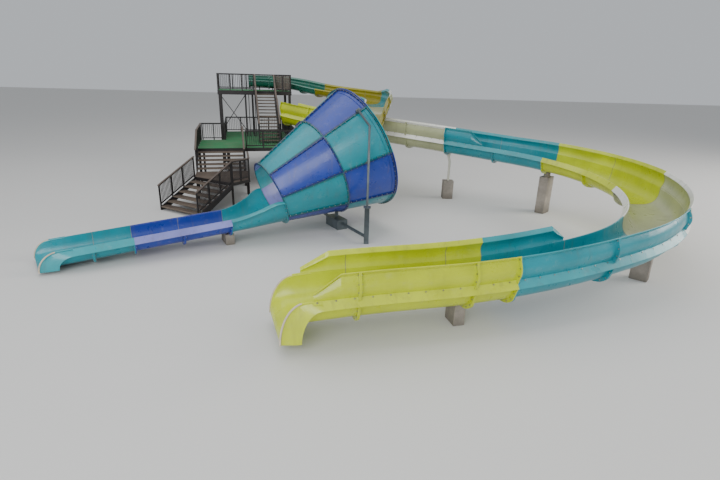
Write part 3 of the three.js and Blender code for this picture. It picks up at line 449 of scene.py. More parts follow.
class Slide:
    """A flume along a path, with its sizes. A mark is a distance from the path's start."""

    def __init__(self, path, measures, left=((0, 0),), right=((0, 0),), shape=None, mouth=None):
        self.path, self.walls, self.mouth = path, {-1: left, 1: right}, mouth
        width, self.depth, self.raised, self.flange, skirt = measures.values()
        plain = (width, self.depth, BOXINESS, skirt)
        self.shape = shape or (lambda mark: plain)

    def at(self, mark):
        return station(*self.path(mark))

    def ahead(self, mark):
        _, right, up = self.at(mark)
        return up.cross(right)

    def drop(self):
        """How far the lips of the mouth reach below the trough's end."""
        return self.path(self.mouth["end"])[0].z - self.mouth["foot"]

    def rim(self, side, mark):
        """Height of the trough's rim, which rolls down at a mouth."""
        depth = self.shape(mark)[1]
        if not self.mouth:
            return depth
        back, reach = self.mouth["rolls"][side]
        share = (mark - self.mouth["end"] + back) / (back + reach)
        return (depth + self.drop()) * math.sqrt(1 - min(max(share, 0), 1) ** 2) - self.drop()

    def top(self, side, mark):
        return self.depth + (self.raised - self.depth) * turning(self.walls[side], mark)

    def walled(self, side, mark):
        return self.top(side, mark) - self.depth > MIN_WALL

    def marks(self, start, end, step):
        """Where the sections stand: at even steps, where the walls turn, and close at a mouth."""
        count = max(2, round((end - start) / step))
        places = {start + (end - start) * index / count for index in range(count + 1)}
        breaks = {at for turns in self.walls.values() for at, _ in turns}
        if self.mouth:
            last = self.mouth["end"]
            breaks |= {last - back - BAND for back, _ in self.mouth["rolls"].values()}
            breaks |= {last - 0.04 * index for index in range(1, 9)}
        margin = 0.02
        return sorted(places | {at for at in breaks if start + margin < at < end - margin})

    def trough(self, mark):
        width, depth, boxiness, _ = self.shape(mark)
        share = {side: self.rim(side, mark) / depth for side in (-1, 1)}
        return [(x, y * share[-1 if x < 0 else 1]) for x, y in trough_curve(width, depth, boxiness)]

    def line(self, kind, side, mark):
        width, depth, _, skirt = self.shape(mark)
        if kind in (wall_line, lip_line):
            return kind(width / 2, depth, self.top(side, mark))
        return kind(width / 2, depth, self.flange, skirt)


def sheet(bm, slide, marks, line_at, thickness, side=1, material=0):
    """A shell of one thickness along the marks, its line given for the right-hand side."""
    sections = []
    for at in marks:
        line = line_at(at)
        rows = (mirrored(line, side), mirrored(pushed(line, thickness), side))
        sections.append(tuple(stood(row, slide.at(at)) for row in rows))
    carry(bm, sections, material)


def collar_rows(slide, mark):
    """Inner and outer edge of the collar round the outside of the trough, between the skirts."""
    width, depth, _, skirt = slide.shape(mark)
    curve = slide.trough(mark)
    inner, outer = pushed(curve, sizes().shell * COLLAR_ROOT), pushed(curve, COLLAR_REACH)
    low = next(index for index, (_, y) in enumerate(curve) if y < depth * 0.35)
    corner = Vector((width / 2 + slide.flange - 0.025, depth - skirt + 0.004))
    for index in range(low):
        x, y = Vector(outer[-1 - low]).lerp(corner, (low - index) / low)
        outer[index], outer[-1 - index] = (-x, y), (x, y)
    rim = width / 2 + sizes().shell
    inner[0], inner[-1] = (-rim, depth - 0.03), (rim, depth - 0.03)
    return inner, outer


def wall_collar_rows(slide, side, mark):
    """Inner and outer edge of the collar on the outside of a raised wall."""
    half = slide.shape(mark)[0] / 2
    top = slide.top(side, mark)
    line = slide.line(wall_line, side, mark)
    inner = [*pushed(line, sizes().shell * COLLAR_ROOT), (half + LIP - 0.03, top - 0.014)]
    outer = [(x + WALL_COLLAR, y) for x, y in line] + [(half + LIP - 0.004, top - 0.012)]
    outer[0] = (outer[0][0], outer[0][1] - 0.05)
    return mirrored(inner, side), mirrored(outer, side)


def bolt_row(bm, inner, outer, station, axis):
    """Bolt heads between the two edges of a collar."""
    spacing = sizes().bolt_spacing
    middle = [a.lerp(b, 0.55) for a, b in zip(stood(inner, station), stood(outer, station))]
    left = spacing / 2
    for start, end in zip(middle[1:-1], middle[2:]):
        length = (end - start).length
        while left < length:
            bolt(bm, start.lerp(end, left / length), axis)
            left += spacing
        left -= length


def collar(bm, slide, mark, facing):
    """A joint collar on the outside of the trough and of each raised wall, with its bolts."""
    least_wall = 0.15
    far = mark + sizes().collar * facing
    rows = [collar_rows(slide, mark)]
    rows += [wall_collar_rows(slide, side, mark) for side in (-1, 1)
             if slide.top(side, mark) - slide.depth > least_wall]
    for inner, outer in rows:
        stations = slide.at(mark), slide.at(far)
        carry(bm, [(stood(inner, station), stood(outer, station)) for station in stations])
        bolt_row(bm, inner, outer, slide.at(far), slide.ahead(mark) * facing)


def sealant(bm, slide, mark):
    """A bead of sealant round the inside of a joint."""
    half_width, lift, thickness = 0.007, 0.004, 0.006
    lines = [(slide.trough(mark), 1)]
    lines += [(slide.line(wall_line, side, mark), side) for side in (-1, 1)
              if slide.walled(side, mark)]
    for line, side in lines:
        bead = pushed(line, -lift)
        sheet(bm, slide, (mark - half_width, mark + half_width), lambda at: bead,
              thickness, side, SEALANT)


def foot_bolts(bm, slide, side, start, end):
    """Bolts along the foot of a raised wall."""
    mark, pitch = start + 0.2, 0.4
    while mark < end - 0.05:
        out, height = slide.line(foot_line, side, mark)[2]
        origin, right, up = slide.at(mark)
        place = origin + right * side * out + up * (height + 0.006)
        bolt(bm, place, (up + right * side * 0.8).normalized())
        mark += pitch


def flume_piece(name, slide, start, end, colour, step, ribs, look=None):
    """One coloured section of a flume, with skirts, walls, collars and bolts."""
    bm = bmesh.new()
    shell, foot = sizes().shell, 0.01
    start, end = start + SEAM, end - SEAM
    marks = slide.marks(start, end, step)
    sheet(bm, slide, marks, slide.trough, shell)
    at_mouth = slide.mouth is not None and end > slide.mouth["end"] - 0.01
    for side in (-1, 1):
        last = slide.mouth["end"] - slide.mouth["rolls"][side][0] - BAND if at_mouth else end
        # Skirts and wall lips take the paler gelcoat copy: painted light on faces turned to the
        # light
        layers = [(skirt_line, [at for at in marks if at <= last + 0.001], shell, PAINTED_LIGHT)]
        walled = [at for at in marks if slide.walled(side, at)]
        if len(walled) > 1:
            layers += [(wall_line, walled, shell, BODY), (lip_line, walled, shell, PAINTED_LIGHT),
                       (foot_line, walled, foot, BODY)]
        for kind, places, thick, material in layers:
            sheet(bm, slide, places, lambda at: slide.line(kind, side, at), thick, side, material)
        if len(walled) > 1:
            foot_bolts(bm, slide, side, walled[0], walled[-1])
    collars = [(start, 1)] if at_mouth else [(start, 1), (end, -1)]
    collars += [(rib + facing * 0.001, facing) for rib in ribs for facing in (1, -1)]
    for place, facing in collars:
        collar(bm, slide, place, facing)
    for place in (start + 0.008, *ribs):
        sealant(bm, slide, place)
    if at_mouth:
        mouth_lips(bm, slide)
        tongue(bm, slide)
    # A look other than the colour draws another gelcoat in its place, as painted shade on the
    # feed's start tub
    look = look or colour
    # The third finish is the paler copy of the gelcoat: painted light
    finishes = [f"gelcoat_{look}", "bolt_zinc", f"painted_light_{look}", "sealant", "worn_edge"]
    finish_piece(name, bm, finishes, "shell")


def mouth_lips(bm, slide):
    """Broad lips that carry the skirts of a mouth on and roll them down to the water."""
    end, drop = slide.mouth["end"], slide.drop()
    _, right, _ = slide.at(end)
    width, depth, _, skirt = slide.shape(end)
    straight, steps, quarter = 6, 24, math.pi / 2
    # Places across the lip: share of its width in height, and in reach beyond the rim
    across = ((0.12, 0.03), (0.4, 0.35), (0.7, 0.72), (1, 1))
    rim_reach, thickness = 0.014, 0.016

    def arc(start, length, height, turn):
        """A place on a rolling edge, as distance ahead and height."""
        return Vector((start + length * math.sin(turn), (height + drop) * math.cos(turn) - drop))

    for side, (back, reach) in slide.mouth["rolls"].items():
        sections, rim = [], []
        first, foot = -back - BAND, reach - slide.mouth["width"]

        def spot(place, out):
            ahead, height = place
            on_path = slide.at(end + min(ahead, 0))[0] + slide.ahead(end) * max(ahead, 0)
            return on_path + right * side * (width / 2 + out) + UP * height

        for step in range(steps + 1):
            upper = arc(first + BAND * min(step / straight, 1), back + reach, depth,
                        quarter * max(step - straight, 0) / (steps - straight))
            lower = arc(first, foot - first, depth - skirt, quarter * step / steps)
            out = slide.flange * (1 - 0.55 * step / steps)
            row = [spot(upper, rim_reach)]
            row += [spot(upper.lerp(lower, share), out * push) for share, push in across]
            sections.append((row, [place - right * side * thickness for place in row]))
            rim.append(row[0])
        # The broad lips and the rim bead before the roll take the paler gelcoat copy, painted
        # light; the bead over the roll is worn paint
        carry(bm, sections, PAINTED_LIGHT)
        tube(bm, rim[:straight + 2], 0.02, PAINTED_LIGHT)
        tube(bm, rim[straight + 1:], 0.022, WORN)


def tongue(bm, slide):
    """The end of the trough between the lips: its floor dips, its sides follow the rolled rims."""
    end, drop = slide.mouth["end"], slide.drop()
    origin, right, _ = slide.at(end)
    width, depth, boxiness, _ = slide.shape(end)
    rolls = slide.mouth["rolls"]
    steps, thickness = 10, 0.012
    sections = []
    for step in range(steps + 1):
        part = 0.995 * math.sin(math.pi / 2 * step / steps)
        floor = -max(drop, 0) * (1 - math.sqrt(1 - part ** 2)) * 0.96
        row = []
        for x, y in trough_curve(width, depth, boxiness):
            side = -1 if x < 0 else 1
            rim = slide.rim(side, end + part * rolls[side][1])
            ahead = part * (rolls[-1][1] + (rolls[1][1] - rolls[-1][1]) * (x / width + 0.5))
            height = floor + (rim - floor) * y / depth
            row.append(origin + right * x + slide.ahead(end) * ahead + UP * height)
        sections.append((row, [place - UP * thickness for place in row]))
    carry(bm, sections)


# U-turn slide

TIGHT = (5.52, math.radians(125.4))
EASY = (26.0, math.radians(13))
FALL = {"first": 0.051, "growth": 0.001, "tub": 0.15, "tub_length": 3.0, "ease_from": 25.3,
        "ease": 6.5, "pitch_from": 31.2, "pitch": 0.012}
UTURN_LEVEL = 2.92
UTURN_STRAIGHT = 13.18
UTURN_LAST = 3.04
UTURN_HEADING = math.radians(-28.8)
UTURN_INLET = (4.089, -2.2, 0)
UTURN_END = UTURN_STRAIGHT + TIGHT[0] * TIGHT[1] + EASY[0] * EASY[1] + UTURN_LAST


def uturn_fall(distance):
    steep = min(distance, FALL["ease_from"])
    easing = min(max(distance - FALL["ease_from"], 0), FALL["ease"])
    slope = FALL["first"] + 2 * FALL["growth"] * FALL["ease_from"]
    return (FALL["first"] * steep + FALL["growth"] * steep ** 2
            + slope * (easing - easing ** 2 / (2 * FALL["ease"]))
            + FALL["pitch"] * max(distance - FALL["pitch_from"], 0) ** 2)


def uturn_path(distance):
    """Place and heading: a straight, a tight right turn, an easy one and a straight."""
    point = (TOWER @ Vector(UTURN_INLET)).to_2d()
    heading, left = UTURN_HEADING, distance
    for radius, angle in ((None, UTURN_STRAIGHT), TIGHT, EASY, (None, math.inf)):
        run = min(left, angle if radius is None else radius * angle)
        ahead = Vector((math.cos(heading), math.sin(heading)))
        if radius is None:
            point += ahead * run
        elif run > 0:
            centre = point + Vector((ahead.y, -ahead.x)) * radius
            point = centre + Matrix.Rotation(-run / radius, 2) @ (point - centre)
            heading -= run / radius
        left -= run
    tub = max(0, 1 - distance / FALL["tub_length"]) ** 2 * FALL["tub"]
    direction = Vector((math.cos(heading), math.sin(heading), 0))
    return Vector((*point, UTURN_LEVEL + tub - uturn_fall(distance))), direction


UTURN_SLIDE = Slide(
    uturn_path, UTURN,
    left=((13.0, 0.77), (19.4, 1), (33.2, 1), (33.78, 0.35), (33.79, 0)),
    right=((11.15, 1), (11.69, 0.22), (11.7, 0), (26.35, 0), (26.36, 0.22), (26.8, 0.8),
           (33.22, 0.8), (33.91, 0.22), (33.92, 0)),
    mouth={"end": UTURN_END, "foot": 0.25, "width": 0.46,
           "rolls": {-1: (0.22, 0.3), 1: (0.15, 0.46)}})
UTURN_SECTIONS = (
    ("uturn_start", 0, 5.8, "lime", (1.9, 3.85)),
    ("uturn_cream", 5.8, 9.85, "cream", (7.8,)),
    ("uturn_teal", 9.85, 14.65, "teal", (12.2,)),
    ("uturn_bend_lime", 14.65, 19.4, "lime", (17.0,)),
    ("uturn_bend_cream", 19.4, 23.1, "cream", ()),
    ("uturn_bend_teal", 23.1, 29.1, "teal", (26.3,)),
    ("uturn_last_lime", 29.1, UTURN_END, "lime", (30.15, 32.8)),
)


def make_uturn():
    for name, start, end, colour, ribs in UTURN_SECTIONS:
        step = 0.3 if end > UTURN_STRAIGHT else 1.0
        flume_piece(name, UTURN_SLIDE, start, end, colour, step, ribs)


# Upper flume

FEED_POINTS = (
    (-7.45, 31.75, 5.01), (-5.0, 32.15, 4.92), (-2.7, 31.3, 4.56), (-0.8, 30.4, 4.35),
    (0.3, 29.2, 4.25), (0.75, 27.5, 4.16), (0.74, 25.8, 4.06), (0.64, 24.9, 3.99),
    (0.47, 23.9, 3.8), (0.23, 22.5, 3.3), (-0.08, 21.1, 2.73), (-0.56, 19.2, 2.01))


def spline(points, samples=60):
    """Centripetal Catmull-Rom curve through the points, as places close together."""
    places = []
    ends = [points[0] * 2 - points[1], *points, points[-1] * 2 - points[-2]]
    for p0, p1, p2, p3 in zip(ends, ends[1:], ends[2:], ends[3:]):
        d0, d1, d2 = (math.sqrt((b - a).length) for a, b in ((p0, p1), (p1, p2), (p2, p3)))
        t1 = ((p1 - p0) / d0 - (p2 - p0) / (d0 + d1) + (p2 - p1) / d1) * d1
        t2 = ((p2 - p1) / d1 - (p3 - p1) / (d1 + d2) + (p3 - p2) / d2) * d1
        for index in range(samples):
            t = index / samples
            places.append(p1 + t1 * t + (-3 * p1 + 3 * p2 - 2 * t1 - t2) * t ** 2
                          + (2 * p1 - 2 * p2 + t1 + t2) * t ** 3)
    places.append(points[-1])
    return places


FEED_LINE = spline([site(*point) for point in FEED_POINTS])
FEED_REACH = [0.0, *accumulate((b - a).length for a, b in zip(FEED_LINE, FEED_LINE[1:]))]
FEED_END = FEED_REACH[-1]


def feed_path(distance):
    last = len(FEED_LINE) - 1
    index = next((i for i, reach in enumerate(FEED_REACH[1:]) if reach >= distance), last - 1)
    start, end = FEED_LINE[index], FEED_LINE[index + 1]
    share = (distance - FEED_REACH[index]) / (end - start).length
    direction = FEED_LINE[min(index + 2, last)] - FEED_LINE[max(index - 1, 0)]
    return start.lerp(end, min(share, 1)), direction.normalized()


FEED_SLIDE = Slide(
    feed_path, FEED,
    left=((0, 0.5), (2.6, 0.57), (8.6, 0.57), (9.8, 1), (FEED_END - 2.6, 1), (FEED_END - 2.0, 0)),
    right=((0, 0.5), (2.4, 0.57), (2.6, 0)))
# The start tub is teal, drawn in the darker green gelcoat: painted shade
FEED_SECTIONS = (
    ("feed_start_tub", 0, 2.5, "teal", "green"), ("feed_green", 2.5, 4.85, "green"),
    ("feed_olive", 4.85, 9.1, "olive"), ("feed_teal", 9.1, 10.6, "teal"),
    ("feed_cream", 10.6, 13.4, "cream"), ("feed_last", 13.4, FEED_END, "olive"))


def make_feed():
    for name, start, end, colour, *look in FEED_SECTIONS:
        shares = (0.5,) if end - start < 4 else (0.33, 0.67)
        ribs = tuple(start + (end - start) * share for share in shares)
        flume_piece(name, FEED_SLIDE, start, end, colour, 0.3, ribs, *look)


# Funnel

AXIS = Vector((0.796, 0.49, 0.357)).normalized()
CENTRE = site(-3.3, 16.57, 1.65)
FUNNEL_UP = (UP - AXIS * AXIS.dot(UP)).normalized()
FUNNEL_SIDE = AXIS.cross(FUNNEL_UP)


def in_funnel(radius, along_axis, angle):
    outward = FUNNEL_UP * math.cos(angle) + FUNNEL_SIDE * math.sin(angle)
    return CENTRE + outward * radius + AXIS * along_axis


def turned(bm, rows, start, end, steps=14, material=BODY):
    """Turns two rows of radius and distance about the funnel's axis, between two angles."""
    angles = [start + (end - start) * step / steps for step in range(steps + 1)]
    carry(bm, [tuple([in_funnel(r, a, angle) for r, a in row] for row in rows)
               for angle in angles], material)


def rim_line(radius, far):
    """Inside of the rolled rim of the wide ring: it folds in, runs forward and turns out."""
    return moved([(-0.012, -0.14), (-0.03, -0.1), (-0.058, -0.06), (-0.072, -0.02), (-0.066, 0.015),
                  (-0.042, 0.038), (-0.01, 0.048), (0.03, 0.05), (0.075, 0.05)], radius, far)


def funnel_panel(ring, index):
    """One curved panel: shell, liner, flanges, bolts, and the rim on the wide ring."""
    wide = ring == "b"
    near, far = (FUNNEL["middle"], FUNNEL["length"]) if wide else (0, FUNNEL["middle"])
    first, last = (FUNNEL["waist"], FUNNEL["big"]) if wide else (FUNNEL["small"], FUNNEL["waist"])
    span = 2 * math.pi / FUNNEL["panels"]
    start = FUNNEL["first_seam"] + index * span + SEAM / first
    end = start + span - 2 * SEAM / first
    near, far = near + SEAM, far - SEAM
    slope = (last - first) / (far - near)
    edge, plate, shell, spacing = FUNNEL["flange"], 0.03, sizes().shell, sizes().bolt_spacing
    bm = bmesh.new()

    def wall(out, *places):
        return [(first + slope * (place - near) + out, place) for place in places]

    turned(bm, (wall(0, near, far), wall(shell, near, far)), start, end)
    lined = (near + 0.004, far - (0.15 if wide else 0.004))
    # The lining takes the paler gelcoat copy: painted light and painted reflection inside the
    # funnel
    turned(bm, (wall(-0.003, *lined), wall(-0.001, *lined)), start, end, material=PAINTED_LIGHT)
    if wide:
        rim = rim_line(last, far)
        turned(bm, (rim, pushed(rim, -0.014)), start, end)
        turned(bm, [[(last + out, far + 0.034), (last + out, far + 0.05)] for out in (0.06, edge)],
               start, end)
    # Ring and seam flanges take the darkened gelcoat copy: painted shade
    for place, outer in ((near, first + edge), (far - plate, last + edge)):
        places = (place, place + plate)
        turned(bm, (wall(shell / 2, *places), [(outer, at) for at in places]), start, end,
               material=PAINTED_SHADE)
    for angle, turn in ((start, 1), (end, -1)):
        width = turn * plate / first
        marks = (near + 0.02, near + 0.3, far - 0.35, far - 0.03)
        turned(bm, (wall(shell / 2, *marks), wall(edge - 0.006, *marks)), angle, angle + width, 1,
               PAINTED_SHADE)
        tangent = (FUNNEL_SIDE * math.cos(angle) - FUNNEL_UP * math.sin(angle)) * turn
        for radius, place in wall(edge * 0.6, *spread(near, far, round((far - near) / spacing))):
            bolt(bm, in_funnel(radius, place, angle + width), tangent)
    rings = [(near + plate, first, 1), (far - plate, last, -1)]
    for place, radius, facing in [*rings, (far + 0.05, last, 1)] if wide else rings:
        for angle in spread(start, end, max(5, round(radius * span / spacing))):
            bolt(bm, in_funnel(radius + edge * 0.66, place, angle), AXIS * facing)
    colour = ("teal", "blue")[(index + wide) % 2]
    # The third finish is the paler copy (painted light), the fourth the darkened copy (painted
    # shade)
    finishes = [f"gelcoat_{colour}", "bolt_zinc", f"painted_light_{colour}", f"painted_shade_{colour}"]
    finish_piece(f"funnel_panel_{ring}{index + 1}", bm, finishes, "shell")


def make_funnel():
    for ring in "ab":
        for index in range(FUNNEL["panels"]):
            funnel_panel(ring, index)


# Run-out

RUNOUT_START = CENTRE - FUNNEL_UP * FUNNEL["small"]
RUNOUT_SPAN = site(-9.48, 13.09, 0.1) - RUNOUT_START
RUNOUT_END = RUNOUT_SPAN.to_2d().length
TRANSITION = 2.05
RUNOUT_TILT = math.asin(AXIS.z)


def runout_path(distance):
    easing = max(0.0, 1 - distance / (TRANSITION * 0.5))
    direction = RUNOUT_SPAN.normalized().lerp(-AXIS, easing)
    return RUNOUT_START + RUNOUT_SPAN * (distance / RUNOUT_END), direction, -RUNOUT_TILT * easing


def runout_shape(distance):
    """The trough leaves the funnel as half a round and eases into the plain section."""
    share = min(max(distance / TRANSITION, 0), 1)
    blend = share * share * (3 - 2 * share)
    low = 0.06
    starts = (2 * FUNNEL["small"], FUNNEL["small"] - low, 1)
    ends = (RUNOUT["width"], RUNOUT["depth"], BOXINESS)
    return (*(start + (end - start) * blend for start, end in zip(starts, ends)),
            low if distance < TRANSITION else RUNOUT["skirt"])


RUNOUT_SLIDE = Slide(
    runout_path, RUNOUT, shape=runout_shape,
    mouth={"end": RUNOUT_END, "foot": 0.1, "width": 0.52,
           "rolls": {-1: (0.33, 0.2), 1: (0.08, 0.41)}})


def make_runout():
    sections = (("runout_transition", 0, TRANSITION, "teal", 0.15, ()),
                ("runout_middle", TRANSITION, 5.1, "blue", 0.8, (3.6,)),
                ("runout_mouth", 5.1, RUNOUT_END, "teal", 0.8, (6.25,)))
    for name, *section in sections:
        flume_piece(name, RUNOUT_SLIDE, *section)


# Stairs and railings

def plain_line(drop, stair):
    """Line that a straight flight's railing follows, as distance out and height."""
    run = (stair["risers"] - 1) * stair["going"]
    return [(0, -SINK), (run + OVERRUN, -drop + drop / stair["risers"] - SINK)]


def steep_line():
    """The same for the steep stair, with its landing."""
    tread, going = STEEP["landing_tread"], STEEP["going"]
    before = (tread - 1) * going
    after = before + STEEP["landing_depth"]
    run = after + (STEEP["risers"] - 1 - tread) * going
    return [(0, -SINK), (before, (1 - tread) * STEEP_RISE - SINK), (after, -tread * STEEP_RISE),
            (run + OVERRUN, STEEP_RISE - (UPPER - LOWER) - SINK)]


SINK, OVERRUN = 0.02, 0.04
STEEP_RISE = (UPPER - LOWER) / STEEP["risers"]
STEEP_PLACE = TOWER @ Matrix.Translation((STEEP["left"], 0, UPPER))
WIDE_PLACE = TOWER @ Matrix.Translation((WIDE["left"], LOWER_FRONT, LOWER))
FLIGHT_PLACE = (TOWER @ Matrix.Translation((*FLIGHT["corner"], LANDING))
                @ Matrix.Rotation(FLIGHT["turn"], 4, "Z"))
STEEP_GOINGS = [STEEP["going"]] * (STEEP["risers"] - 1)
STEEP_GOINGS[STEEP["landing_tread"] - 1] = STEEP["landing_depth"]


INSET = 0.03
EDGE = 0.025
STAIR_RIGHT = STEEP["left"] + STEEP["width"]


def level(name, height, *points):
    """A level railing, by the matrix of its plan and the line at its foot."""
    return {name: (TOWER, [Vector((x, y, height)) for x, y in points])}


def beside(name, place, stair, line, *leads):
    """The two railings of a stair, and how far each of them leads back over the deck."""
    railings = {}
    for side, x, lead in zip(("left", "right"), (EDGE, stair["width"] - EDGE), leads or (0, 0)):
        points = [(-lead, 0), *line] if lead else line
        railings[f"{name}_railing_{side}"] = (place, [Vector((x, -out, up)) for out, up in points])
    return railings


RAILINGS = (
    level("upper_railing_front", UPPER, (INSET, INSET), (STEEP["left"] - 0.01, INSET))
    | level("upper_railing_back", UPPER, (INSET, 0.09), (INSET, 2.97), (4.42, 2.97))
    | level("upper_railing_right", UPPER, (STAIR_RIGHT + 0.01, INSET), (4.42, INSET), (4.42, 0.8))
    | beside("steep_stair", STEEP_PLACE, STEEP, steep_line())
    | beside("wide_stair", WIDE_PLACE, WIDE, plain_line(LOWER - LANDING, WIDE), 3.44, 1.7)
    | level("lower_railing_back", LOWER, (-0.98, -1.53), (0.33, -1.53), (0.33, 2.92), (4.12, 2.92))
    | level("lower_railing_right", LOWER, (1.4, -4.97), (4.12, -4.97), (4.12, 2.85))
    | level("landing_railing", LANDING, (1.42, -6.71), (1.42, -8.71), (0.65, -9.475))
    | beside("lower_flight", FLIGHT_PLACE, FLIGHT, plain_line(LANDING, FLIGHT)))
BROWN_RAILINGS = ("steep", "wide", "lower_flight", "landing")
RAIL_HEIGHT = 0.95
UNDER_SLIDE = 0.89


def railing(node):
    """Fine balusters between the rails of one railing, and a capping board on its top rail."""
    place, line = RAILINGS[node]
    height = UNDER_SLIDE if node == "lower_railing_right" else RAIL_HEIGHT
    brown = node.startswith(BROWN_RAILINGS)
    bar, pitch, cap = sizes().baluster, sizes().baluster_pitch, sizes().board
    bar, pitch, cap = (bar * 1.35, pitch * 0.62, cap) if brown else (bar, pitch, cap * 0.55)
    bm = cad_copy(node)
    paint(bm.faces, 0)
    corners = [place @ point for point in line]
    for start, end in zip(corners, corners[1:]):
        run = (end - start).to_2d().length
        count = max(1, round(run / pitch))
        for step in range(1, count):
            foot = start.lerp(end, step / count)
            board(bm, foot + UP * 0.1, foot + UP * (height - 0.03), bar, bar)
        lift = UP * (height + 0.008)
        ahead = (end - start).normalized() * 0.02
        board(bm, start + lift - ahead, end + lift + ahead, cap, 0.034, 1 if brown else 0)
    if node == "upper_railing_right":
        screen(bm, corners[0], corners[1], height)
    finish_piece(node, bm, ["charcoal_paint", "brown_paint"])


def screen(bm, start, end, height):
    """A close screen of upright slats in a railing's bay."""
    pitch, width, thickness = 0.032, 0.024, 0.012
    for foot in spread(start, end, round((end - start).length / pitch)):
        board(bm, foot + UP * 0.06, foot + UP * (height - 0.01), width, thickness, 1)


def make_railings():
    for node in RAILINGS:
        railing(node)


def treads(bm, place, width, rise, goings):
    """Worn boards on the treads, each with a pale nosing."""
    left, right = 0.05, width - 0.05
    out = 0.0
    for step, going in enumerate(goings, 1):
        up = -step * rise
        block(bm, (left, -out - going - 0.018, up), (right, -out - 0.007, up + 0.008), place, 1)
        out += going
        block(bm, (left, -out - 0.024, up - 0.04), (right, 0.016 - out, up + 0.012), place, 2)


def make_stairs():
    flights = (
        ("steep_stair", STEEP_PLACE, STEEP, UPPER - LOWER, STEEP_GOINGS),
        ("wide_stair", WIDE_PLACE, WIDE, LOWER - LANDING, [WIDE["going"]] * 5),
        ("lower_flight", FLIGHT_PLACE, FLIGHT, LANDING, [FLIGHT["going"]] * 6))
    for node, place, stair, height, goings in flights:
        bm = cad_copy(node)
        treads(bm, place, stair["width"], height / stair["risers"], goings)
        finish_piece(node, bm, ["charcoal_paint", "brown_grit", "pale_nosing"])


# Frame and decks

def deck(node, height, top_finish):
    """A deck with its walking surface in one finish and its edges, joists and posts in steel."""
    bm = cad_copy(node)
    for face in bm.faces:
        face.normal_update()
        walked = face.normal.z > 0.9 and abs(face.calc_center_median().z - height) < 0.01
        face.material_index = 1 if walked else 0
    finish_piece(node, bm, ["charcoal_paint", top_finish])


def make_tower():
    deck("upper_deck_floor", UPPER, "green_grit")
    deck("lower_deck", LOWER, "green_grit")
    deck("landing", LANDING, "brown_grit")
    deck("mid_platform", UPPER - STEEP["landing_tread"] * STEEP_RISE, "green_grit")
    bm = cad_copy("tower_frame")
    plate, apart, hanger = 0.025, 0.11, 0.0225
    for x, y in product((LEG_INSET, TOWER_WIDTH - LEG_INSET), (LEG_INSET, TOWER_DEPTH - LEG_INSET)):
        for dx, dy in product((-apart, apart), repeat=2):
            bolt(bm, TOWER @ Vector((x + dx, y + dy, plate)), UP, 1.6)
    for x in (1.83, 2.2):
        block(bm, (x - hanger, 0.1, LOWER), (x + hanger, 0.14, UPPER - 0.2), TOWER)
    finish_piece("tower_frame", bm, ["charcoal_paint", "bolt_zinc"])


# Supports

# Finish and slot of each support
CONCRETE = ("cast_concrete", "concrete")
SUPPORTS = {
    "runout_pier": CONCRETE, "uturn_pier_bend": CONCRETE, "uturn_pier_turn": CONCRETE,
    "uturn_pier_last": CONCRETE, "funnel_stand": ("grey_paint", "grey_steel"),
    "uturn_post": ("pale_paint", "dark_steel"), "feed_post": ("grey_paint", "dark_steel"),
}


def make_supports():
    for node, (finish, slot) in SUPPORTS.items():
        bm = cad_copy(node)
        if slot == "concrete":
            soften(bm, 0.012)
        if node == "uturn_post":
            footing(bm, 0.95)
        finish_piece(node, bm, [finish, "cast_concrete"])


def footing(bm, height):
    """Gives the faces below a height the concrete finish."""
    for face in bm.faces:
        if max(vert.co.z for vert in face.verts) < height:
            face.material_index = 1


# Stage

CAMERA = {"place": (8.735147, -29.446969, 5.7), "right": (0.99966, 0.00861, 0.02472),
          "up": (-0.02618, 0.3288, 0.9441), "lens": 23.25}
# Name, place, target, size, power and tint of each light
LIGHTS = (("sky", (4, -10, 26), (10, -8, 1), 28, 3400, (1, 1, 1)),
          ("side", (44, -12, 15), (8, -9, 1), 20, 8500, (1.0, 0.97, 0.92)),
          ("front", (0, -46, 15), (8, -9, 1), 24, 9500, (0.95, 0.97, 1.0)))


def make_stage():
    scene = bpy.context.scene

    def place_in_scene(name, data):
        item = bpy.data.objects.new(name, data)
        scene.collection.objects.link(item)
        return item

    Finish("pale_floor", 0.8).feed({"Base Color": (0.62, 0.61, 0.59)})
    bm = bmesh.new()
    bmesh.ops.create_grid(bm, x_segments=1, y_segments=1, size=140,
                          matrix=Matrix.Translation((8, -8, -0.002)))
    mesh = bpy.data.meshes.new("floor")
    bm.to_mesh(mesh)
    bm.free()
    mesh.materials.append(bpy.data.materials["pale_floor"])
    place_in_scene("floor", mesh)

    camera = place_in_scene("camera", bpy.data.cameras.new("camera"))
    camera.data.lens = CAMERA["lens"]
    camera.data.sensor_width = 36
    camera.data.clip_end = 400
    right = Vector(CAMERA["right"]).normalized()
    back = right.cross(Vector(CAMERA["up"])).normalized()
    turn = Matrix((right, back.cross(right), back)).transposed().to_4x4()
    camera.matrix_world = Matrix.Translation(CAMERA["place"]) @ turn
    scene.camera = camera

    for name, place, target, size, power, tint in LIGHTS:
        lamp = bpy.data.lights.new(name, "AREA")
        lamp.size, lamp.energy, lamp.color = size, power, tint
        light = place_in_scene(name, lamp)
        light.location = place
        light.rotation_euler = (Vector(target) - Vector(place)).to_track_quat("-Z", "Y").to_euler()
    world = bpy.data.worlds.new("studio")
    world.use_nodes = True
    background = world.node_tree.nodes["Background"]
    background.inputs["Color"].default_value = (0.86, 0.9, 0.95, 1)
    background.inputs["Strength"].default_value = 0.6
    scene.world = world


# Add-on

def colour_property(key):
    return bpy.props.FloatVectorProperty(
        name=key.capitalize(), description=f"Gelcoat colour of the {key} sections",
        subtype="COLOR", size=3, min=0, max=1, default=GELCOATS[key][0])


class SlideColours(bpy.types.PropertyGroup):
    """Gelcoat colours of the slides."""
    teal: colour_property("teal")
    blue: colour_property("blue")
    olive: colour_property("olive")
    lime: colour_property("lime")
    cream: colour_property("cream")
    green: colour_property("green")


